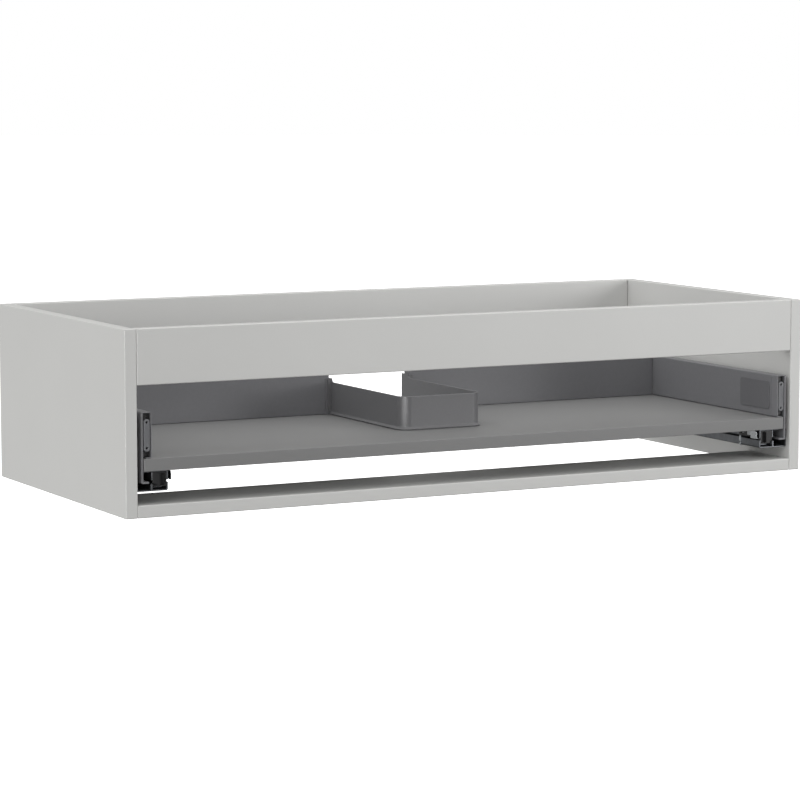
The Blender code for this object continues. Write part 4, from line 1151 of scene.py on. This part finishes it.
def ball_cages():
    """The ball cages: a plastic channel with windows, and its rows of balls."""
    sizes = settings().slide
    radius = sizes.ball / 2
    for level in ("lower", "upper"):
        box = span(f"{level}_ball_cage_right")
        rail = span("middle_rail_right")
        edge, sheet = radius - 0.5 * MM, 1.0 * MM
        x0, x1 = box.x0 + edge, box.x1 - edge
        count = int((box.y1 - box.y0) / sizes.ball_pitch)
        margin = ((box.y1 - box.y0) - (count - 1) * sizes.ball_pitch) / 2
        if level == "lower":
            web, tip = box.z0 + sheet / 2, box.z1
            centre_z = rail.z0 + 2.8 * MM
        else:
            web, tip = box.z1 - sheet / 2, box.z0
            centre_z = rail.z1 - 2.8 * MM
        path = [(x0 + sheet / 2, tip), (x0 + sheet / 2, web), (x1 - sheet / 2, web),
                (x1 - sheet / 2, tip)]
        for name, side in SIDES:
            body = f"{level}_ball_cage_{name}"
            shape = prism(bmesh.new(), folded(path, sheet, 0.3 * MM, 4), "Y", box.y0, box.y1)
            windows = []
            for k in range(count - 1):
                at = box.y0 + margin + (k + 0.5) * sizes.ball_pitch
                pocket = rectangle(-3 * MM, 3 * MM, -6 * MM, 6 * MM, 2 * MM)
                windows.append(prism(bmesh.new(), [
                    (x + (x0 + x1) / 2, y + at) for x, y in pocket
                ], "Z", web - 2 * MM, web + 2 * MM))
            build(f"{level}_cage_{name}", shape, side, body, "grey_acetal", [body], 0.1 * MM,
                  windows)
            pair = bmesh.new()
            for across in (box.x0 + radius, box.x1 - radius):
                bmesh.ops.create_uvsphere(pair, u_segments=16, v_segments=10, radius=radius,
                                          matrix=Matrix.Translation((side * across, 0, 0)))
            repeat(f"{level}_balls_{name}", pair, body, "bright_zinc_plate", Count=count,
                   First=(0, box.y0 + margin, centre_z), Step=(0, sizes.ball_pitch, 0))


def closing_units():
    """The soft-close units: tray, catch, damper, spring, and the pins that work them."""
    sizes = settings().slide
    tray = span("damper_tray_right")
    catch = span("closing_catch_right")
    tube = span("damper_cylinder_right")
    rod = span("damper_rod_right")
    spring = span("closing_spring_right")
    pin = span("closing_pin_right")
    wall = 1 * MM
    for name, side in SIDES:
        shape = block(bmesh.new(), *tray)
        hollow = block(bmesh.new(), tray.x0 + wall, tray.x1 - wall, tray.y0 + wall, tray.y1 - wall,
                       tray.z0 + wall, tray.z1 + 2 * MM)
        build(f"closer_tray_{name}", shape, side, "cabinet", "black_acetal",
              [f"damper_tray_{name}"], 0.3 * MM, [hollow])
        shape = block(bmesh.new(), *catch)
        nest = prism(bmesh.new(), rounded([
            ((catch.y0 + catch.y1) / 2 - 3 * MM, catch.z1 + 1 * MM, 0),
            ((catch.y0 + catch.y1) / 2 + 3 * MM, catch.z1 + 1 * MM, 0),
            ((catch.y0 + catch.y1) / 2 + 2 * MM, catch.z1 - 1.2 * MM, 0.5 * MM),
            ((catch.y0 + catch.y1) / 2 - 2 * MM, catch.z1 - 1.2 * MM, 0.5 * MM),
        ]), "X", catch.x0 - 1 * MM, catch.x1 + 1 * MM)
        build(f"closer_catch_{name}", shape, side, f"closing_catch_{name}", "grey_acetal",
              [f"closing_catch_{name}"], 0.3 * MM, [nest])
        centre = ((tube.x0 + tube.x1) / 2, (tube.z0 + tube.z1) / 2)
        radius = (tube.z1 - tube.z0) / 2
        neck = radius - 0.25 * MM
        shape = turned(bmesh.new(), [
            (0, tube.y0 + 0.3 * MM), (radius * 0.6, tube.y0 + 0.3 * MM), (radius * 0.7, tube.y0),
            (radius - 0.2 * MM, tube.y0), (radius, tube.y0 + 0.2 * MM), (radius, tube.y0 + 3 * MM),
            (neck, tube.y0 + 3.4 * MM), (neck, tube.y0 + 4.2 * MM), (radius, tube.y0 + 4.6 * MM),
            (radius, tube.y1 - 0.6 * MM), (radius - 0.6 * MM, tube.y1), (0, tube.y1),
        ], "Y", centre, 28)
        build(f"damper_tube_{name}", shape, side, "cabinet", "bright_zinc_plate",
              [f"damper_cylinder_{name}"], 0)
        centre = ((rod.x0 + rod.x1) / 2, (rod.z0 + rod.z1) / 2)
        radius = (rod.z1 - rod.z0) / 2
        shape = turned(bmesh.new(), [
            (0, rod.y0), (radius * 0.8, rod.y0), (radius, rod.y0 + 0.2 * MM),
            (radius, rod.y1 - 0.2 * MM), (radius * 0.8, rod.y1), (0, rod.y1),
        ], "Y", centre, 16)
        build(f"piston_rod_{name}", shape, side, f"closing_catch_{name}", "bright_zinc_plate",
              [f"damper_rod_{name}"], 0)
        wire = sizes.spring_wire / 2
        radius = (spring.z1 - spring.z0) / 2 - wire
        first = (side * (spring.x0 + spring.x1) / 2, spring.y0 + wire,
                 (spring.z0 + spring.z1) / 2)
        coil = grow(f"return_spring_{name}", coil_tree(), Turns=float(sizes.spring_turns),
                    Radius=radius, Length=spring.y1 - spring.y0 - 2 * wire, Wire=wire, First=first,
                    Finish=finish("bright_zinc_plate"))
        smooth(coil, 60)
        attach(coil, "cabinet", "bright_zinc_plate", [f"closing_spring_{name}"])
        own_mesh(coil)
        shape = block(bmesh.new(), *pin)
        build(f"closer_pin_{name}", shape, side, "drawer", "black_acetal", [f"closing_pin_{name}"],
              0.5 * MM, segments=3)


def release_latches():
    """The release latches: a housing with its height wheel, and the thumb lever."""
    sizes = settings().slide
    house = span("latch_housing_right")
    lever = span("release_lever_right")
    sheet = 1.2 * MM
    pivot_y = house.y0 + 4 * MM
    wheel_y = house.y1 - 8 * MM
    for name, side in SIDES:
        shape = block(bmesh.new(), *house)
        well = block(bmesh.new(), lever.x0 - 1 * MM, house.x1 - 0.5 * MM, house.y0 - 1 * MM,
                     pivot_y + 3.4 * MM, house.z0 + 2.2 * MM, house.z1 - 2.2 * MM)
        seat = block(bmesh.new(), house.x0 - 1 * MM, house.x1 - 0.6 * MM, wheel_y - 4.2 * MM,
                     wheel_y + 4.2 * MM, house.z0 + 3 * MM, house.z0 + 6.4 * MM)
        build(f"latch_shell_{name}", shape, side, "drawer", "black_acetal",
              [f"latch_housing_{name}"], 0.4 * MM, [well, seat])
        pivot = ((lever.x0 + 0.6 * MM + 1.5 * MM), pivot_y)
        stud = turned(bmesh.new(), [
            (0, house.z0 + 1 * MM), (0.6 * MM, house.z0 + 1 * MM), (0.6 * MM, house.z1 - 1 * MM),
            (0, house.z1 - 1 * MM),
        ], "Z", pivot, 16)
        build(f"latch_pivot_{name}", stud, side, "drawer", "bright_zinc_plate", (), 0)
        rib = block(bmesh.new(), -0.35 * MM, 0.2 * MM, -0.2 * MM, 0.2 * MM, 0, 2.6 * MM)
        reach = (house.x1 - house.x0) / 2 - 0.4 * MM
        repeat(f"height_wheel_ribs_{name}", rib, "drawer", "grey_acetal", tree=ring_tree(),
               Count=sizes.wheel_ribs, Radius=reach,
               Centre=(side * (house.x0 + house.x1) / 2, wheel_y, house.z0 + 3.4 * MM))
        disc = turned(bmesh.new(), [
            (0, house.z0 + 3.4 * MM), (reach, house.z0 + 3.4 * MM), (reach, house.z0 + 6.0 * MM),
            (0, house.z0 + 6.0 * MM),
        ], "Z", ((house.x0 + house.x1) / 2, wheel_y), 32)
        build(f"height_wheel_{name}", disc, side, "drawer", "grey_acetal", (), 0)
        lever_piece(name, side, house, lever, pivot, sheet)


def lever_piece(name, side, house, lever, pivot, sheet):
    """The thumb lever: a pressed plate with a rounded tongue, a foot and an eye on the pivot."""
    tail = lever.x0 + 0.6 * MM
    tail_width = 3 * MM
    low, high = lever.z0 + 3.8 * MM, house.z1 - 2.6 * MM
    arm = rounded([
        (lever.x0, lever.y0, 0.3 * MM), (lever.x0 + sheet, lever.y0, 0.3 * MM),
        (lever.x0 + sheet, house.y0 - 4 * MM, 1 * MM),
        (tail + tail_width, house.y0 - 1 * MM, 0.5 * MM),
        (tail + tail_width, pivot[1] + 2.2 * MM, 1.2 * MM), (tail, pivot[1] + 2.2 * MM, 1.2 * MM),
        (lever.x0, house.y0 - 2 * MM, 0.3 * MM),
    ], 4)
    piece = as_object(f"thumb_lever_{name}", prism(bmesh.new(), arm, "Z", low, high), side)
    thumb_end = lever.y0 + 13.5 * MM
    thumb = prism(bmesh.new(), rounded([
        (lever.y0, lever.z0, 1.5 * MM), (thumb_end, lever.z0, 1 * MM),
        (thumb_end, lever.z1, 2.5 * MM), (lever.y0, lever.z1, 3.5 * MM),
    ], 8), "X", lever.x0, lever.x0 + sheet)
    foot = prism(bmesh.new(), rounded([
        (lever.x0 + 0.2 * MM, lever.y0, 0.4 * MM), (lever.x1, lever.y0, 1.2 * MM),
        (lever.x1, lever.y0 + 9.6 * MM, 1.2 * MM),
        (lever.x0 + 0.2 * MM, lever.y0 + 9.6 * MM, 0.3 * MM),
    ]), "Z", lever.z0, lever.z0 + sheet)
    carve(piece, [thumb, foot], side, "UNION")
    eye = prism(bmesh.new(), circle(pivot, 0.8 * MM, 20), "Z", lever.z0 - 2 * MM, lever.z1 + 2 * MM)
    carve(piece, [eye], side)
    smooth(piece)
    attach(piece, f"release_lever_{name}", "bright_zinc_plate", [f"release_lever_{name}"])


# ---------------------------------------------------------------- studio
PAPER_RADIUS = 40             # metres
PAPER_GLOW = 0.8              # the paper's own light, which keeps it white
CAMERA_PLACE = (-1.9384, -3.7063, 0.572)
CAMERA_DIP = 6.436            # degrees below level
CAMERA_TURN = 27.545          # degrees to the right of +Y
CAMERA_LENS = 138.94          # mm


def studio():
    """A white floor, soft lights and the camera in front of the cabinet's left corner."""
    values = settings().studio
    scene = bpy.context.scene
    scene.view_settings.view_transform = "Standard"
    floor = bpy.data.objects.new("studio_floor", bpy.data.meshes.new("studio_floor"))
    scene.collection.objects.link(floor)
    shape = bmesh.new()
    bmesh.ops.create_circle(shape, cap_ends=True, segments=64, radius=PAPER_RADIUS,
                            matrix=Matrix.Translation((0, 0, -values.floor_drop)))
    shape.to_mesh(floor.data)
    shape.free()
    paper, tree, shader = new_material("white_paper", 0.9)
    shader.inputs["Base Color"].default_value = (*values.paper, 1.0)
    shader.inputs["Emission Color"].default_value = (*values.paper, 1.0)
    shader.inputs["Emission Strength"].default_value = PAPER_GLOW
    floor.data.materials.append(paper)
    floor.visible_diffuse = False
    floor.visible_glossy = False

    world = bpy.data.worlds.new("studio_air")
    world.use_nodes = True
    tree = world.node_tree
    tree.nodes.clear()
    direction = add(tree, "ShaderNodeTexCoord").outputs["Generated"]
    parts = add(tree, "ShaderNodeSeparateXYZ", {"Vector": direction})
    above = add(tree, "ShaderNodeMath", {
        0: parts.outputs["Z"], 1: values.air_above,
    }, operation="MULTIPLY", use_clamp=True)
    left = add(tree, "ShaderNodeMath", {
        0: parts.outputs["X"], 1: -values.air_left,
    }, operation="MULTIPLY")
    left = add(tree, "ShaderNodeMath", {0: left.outputs["Value"], 1: 0.0}, operation="MAXIMUM")
    strength = add(tree, "ShaderNodeMath", {
        0: above.outputs["Value"], 1: left.outputs["Value"],
    }, operation="ADD")
    air = add(tree, "ShaderNodeBackground", {
        "Color": (1.0, 1.0, 0.995, 1.0), "Strength": strength.outputs["Value"],
    })
    seen = add(tree, "ShaderNodeBackground", {"Color": (*values.paper, 1.0), "Strength": 1.0})
    ray = add(tree, "ShaderNodeLightPath")
    mixed = add(tree, "ShaderNodeMixShader", {
        0: ray.outputs["Is Camera Ray"], 1: air.outputs["Background"],
        2: seen.outputs["Background"],
    })
    add(tree, "ShaderNodeOutputWorld", {"Surface": mixed.outputs["Shader"]})
    scene.world = world

    middle = (0, 0, 0.1)
    area_light("left_light", (-3.2, -3.4, 0.7), middle, 1.8, values.left_power)
    area_light("low_light", (-0.8, -4.2, 0.15), middle, 1.6, values.low_power)
    area_light("right_light", (3.6, -4.5, 1.1), (0.2, 0, 0.1), 2.5, values.right_power)
    area_light("overhead_light", (0.3, -0.2, 3.0), middle, 3.0, values.overhead_power)
    strip = area_light("strip_light", (-2.7, -2.4, 0.1), middle, 3.0, values.strip_power)
    strip.data.shape = "RECTANGLE"
    strip.data.size_y = 2.4
    strip.visible_diffuse = False

    camera = bpy.data.objects.new("camera", bpy.data.cameras.new("camera"))
    camera.data.lens = CAMERA_LENS
    camera.data.clip_end = 100
    camera.location = CAMERA_PLACE
    camera.rotation_euler = (math.radians(90 - CAMERA_DIP), 0, math.radians(-CAMERA_TURN))
    scene.collection.objects.link(camera)
    scene.camera = camera


def area_light(name, place, target, size, watts):
    """A round, soft light turned towards a point."""
    light = bpy.data.lights.new(name, "AREA")
    light.shape = "DISK"
    light.size = size
    light.energy = watts
    made = bpy.data.objects.new(name, light)
    made.location = place
    made.rotation_euler = (Vector(target) - Vector(place)).to_track_quat("-Z", "Y").to_euler()
    bpy.context.scene.collection.objects.link(made)
    return made


# ---------------------------------------------------------------- operators
class BASINCABINET_OT_boards(bpy.types.Operator):
    """Add the five boards of the carcass and their connecting cams"""

    bl_idname = "basin_cabinet.boards"
    bl_label = "Carcass boards"

    def execute(self, context):
        for node, flat_axis in (("left_side_panel", 0), ("right_side_panel", 0),
                                ("front_top_rail", 1), ("back_top_rail", 1),
                                ("front_bottom_rail", 2)):
            carcass_board(node, flat_axis)
        connecting_cams()
        return {"FINISHED"}


class BASINCABINET_OT_hangers(bpy.types.Operator):
    """Add the wall hangers and their hooks"""

    bl_idname = "basin_cabinet.hangers"
    bl_label = "Wall hangers"

    def execute(self, context):
        hangers()
        return {"FINISHED"}


class BASINCABINET_OT_drawer_floor(bpy.types.Operator):
    """Add the drawer floor with its cut-out"""

    bl_idname = "basin_cabinet.drawer_floor"
    bl_label = "Drawer floor"

    def execute(self, context):
        drawer_floor()
        return {"FINISHED"}


class BASINCABINET_OT_drawer_sides(bpy.types.Operator):
    """Add the folded drawer sides and their cover caps"""

    bl_idname = "basin_cabinet.drawer_sides"
    bl_label = "Drawer sides"

    def execute(self, context):
        drawer_sides()
        cover_caps()
        return {"FINISHED"}


class BASINCABINET_OT_front_fixings(bpy.types.Operator):
    """Add the brackets, clamps and cams that hold a drawer front"""

    bl_idname = "basin_cabinet.front_fixings"
    bl_label = "Front fixings"

    def execute(self, context):
        front_fixings()
        return {"FINISHED"}


class BASINCABINET_OT_drawer_back(bpy.types.Operator):
    """Add the drawer back, its end channels and its riveted angles"""

    bl_idname = "basin_cabinet.drawer_back"
    bl_label = "Drawer back"

    def execute(self, context):
        drawer_back()
        corner_angles()
        return {"FINISHED"}


class BASINCABINET_OT_surround(bpy.types.Operator):
    """Add the siphon surround"""

    bl_idname = "basin_cabinet.surround"
    bl_label = "Siphon surround"

    def execute(self, context):
        siphon_surround()
        return {"FINISHED"}


class BASINCABINET_OT_rails(bpy.types.Operator):
    """Add the fixed, middle and drawer rails of both slides"""

    bl_idname = "basin_cabinet.rails"
    bl_label = "Rails"

    def execute(self, context):
        cabinet_rails()
        middle_rails()
        drawer_rails()
        return {"FINISHED"}


class BASINCABINET_OT_rail_screws(bpy.types.Operator):
    """Add the screws of the fixed rails"""

    bl_idname = "basin_cabinet.rail_screws"
    bl_label = "Rail screws"

    def execute(self, context):
        rail_screws()
        return {"FINISHED"}


class BASINCABINET_OT_ball_cages(bpy.types.Operator):
    """Add the ball cages and their balls"""

    bl_idname = "basin_cabinet.ball_cages"
    bl_label = "Ball cages"

    def execute(self, context):
        ball_cages()
        return {"FINISHED"}


class BASINCABINET_OT_closing_units(bpy.types.Operator):
    """Add the soft-close units"""

    bl_idname = "basin_cabinet.closing_units"
    bl_label = "Soft-close units"

    def execute(self, context):
        closing_units()
        return {"FINISHED"}


class BASINCABINET_OT_release_latches(bpy.types.Operator):
    """Add the release latches and their thumb levers"""

    bl_idname = "basin_cabinet.release_latches"
    bl_label = "Release latches"

    def execute(self, context):
        release_latches()
        return {"FINISHED"}


class BASINCABINET_OT_studio(bpy.types.Operator):
    """Add the floor, the lights and the camera"""

    bl_idname = "basin_cabinet.studio"
    bl_label = "Studio"

    def execute(self, context):
        studio()
        return {"FINISHED"}


OPERATORS = (
    BASINCABINET_OT_boards,
    BASINCABINET_OT_hangers,
    BASINCABINET_OT_drawer_floor,
    BASINCABINET_OT_drawer_sides,
    BASINCABINET_OT_front_fixings,
    BASINCABINET_OT_drawer_back,
    BASINCABINET_OT_surround,
    BASINCABINET_OT_rails,
    BASINCABINET_OT_rail_screws,
    BASINCABINET_OT_ball_cages,
    BASINCABINET_OT_closing_units,
    BASINCABINET_OT_release_latches,
    BASINCABINET_OT_studio,
)


class BASINCABINET_PT_sidebar(bpy.types.Panel):
    """The settings and the pieces of the washbasin cabinet"""

    bl_idname = "BASINCABINET_PT_sidebar"
    bl_label = "Washbasin cabinet"
    bl_space_type = "VIEW_3D"
    bl_region_type = "UI"
    bl_category = "Basin cabinet"

    def draw(self, context):
        groups = context.scene.basin_cabinet
        for label in ("cabinet", "drawer", "slide", "colours", "studio"):
            group = getattr(groups, label)
            column = self.layout.box().column()
            column.label(text=label.capitalize())
            for prop in group.bl_rna.properties:
                if prop.identifier not in ("rna_type", "name"):
                    column.prop(group, prop.identifier)
        for operator in OPERATORS:
            self.layout.operator(operator.bl_idname)


CLASSES = (
    CabinetSizes, DrawerSizes, SlideSizes, FinishColours, StudioSettings, BasinCabinetSettings,
    *OPERATORS, BASINCABINET_PT_sidebar,
)


def register():
    for cls in CLASSES:
        bpy.utils.register_class(cls)
    bpy.types.Scene.basin_cabinet = bpy.props.PointerProperty(type=BasinCabinetSettings)


def unregister():
    del bpy.types.Scene.basin_cabinet
    for cls in reversed(CLASSES):
        bpy.utils.unregister_class(cls)


def main():
    register()
    for operator in OPERATORS:
        group, name = operator.bl_idname.split(".")
        getattr(getattr(bpy.ops, group), name)()


if __name__ == "__main__":
    main()
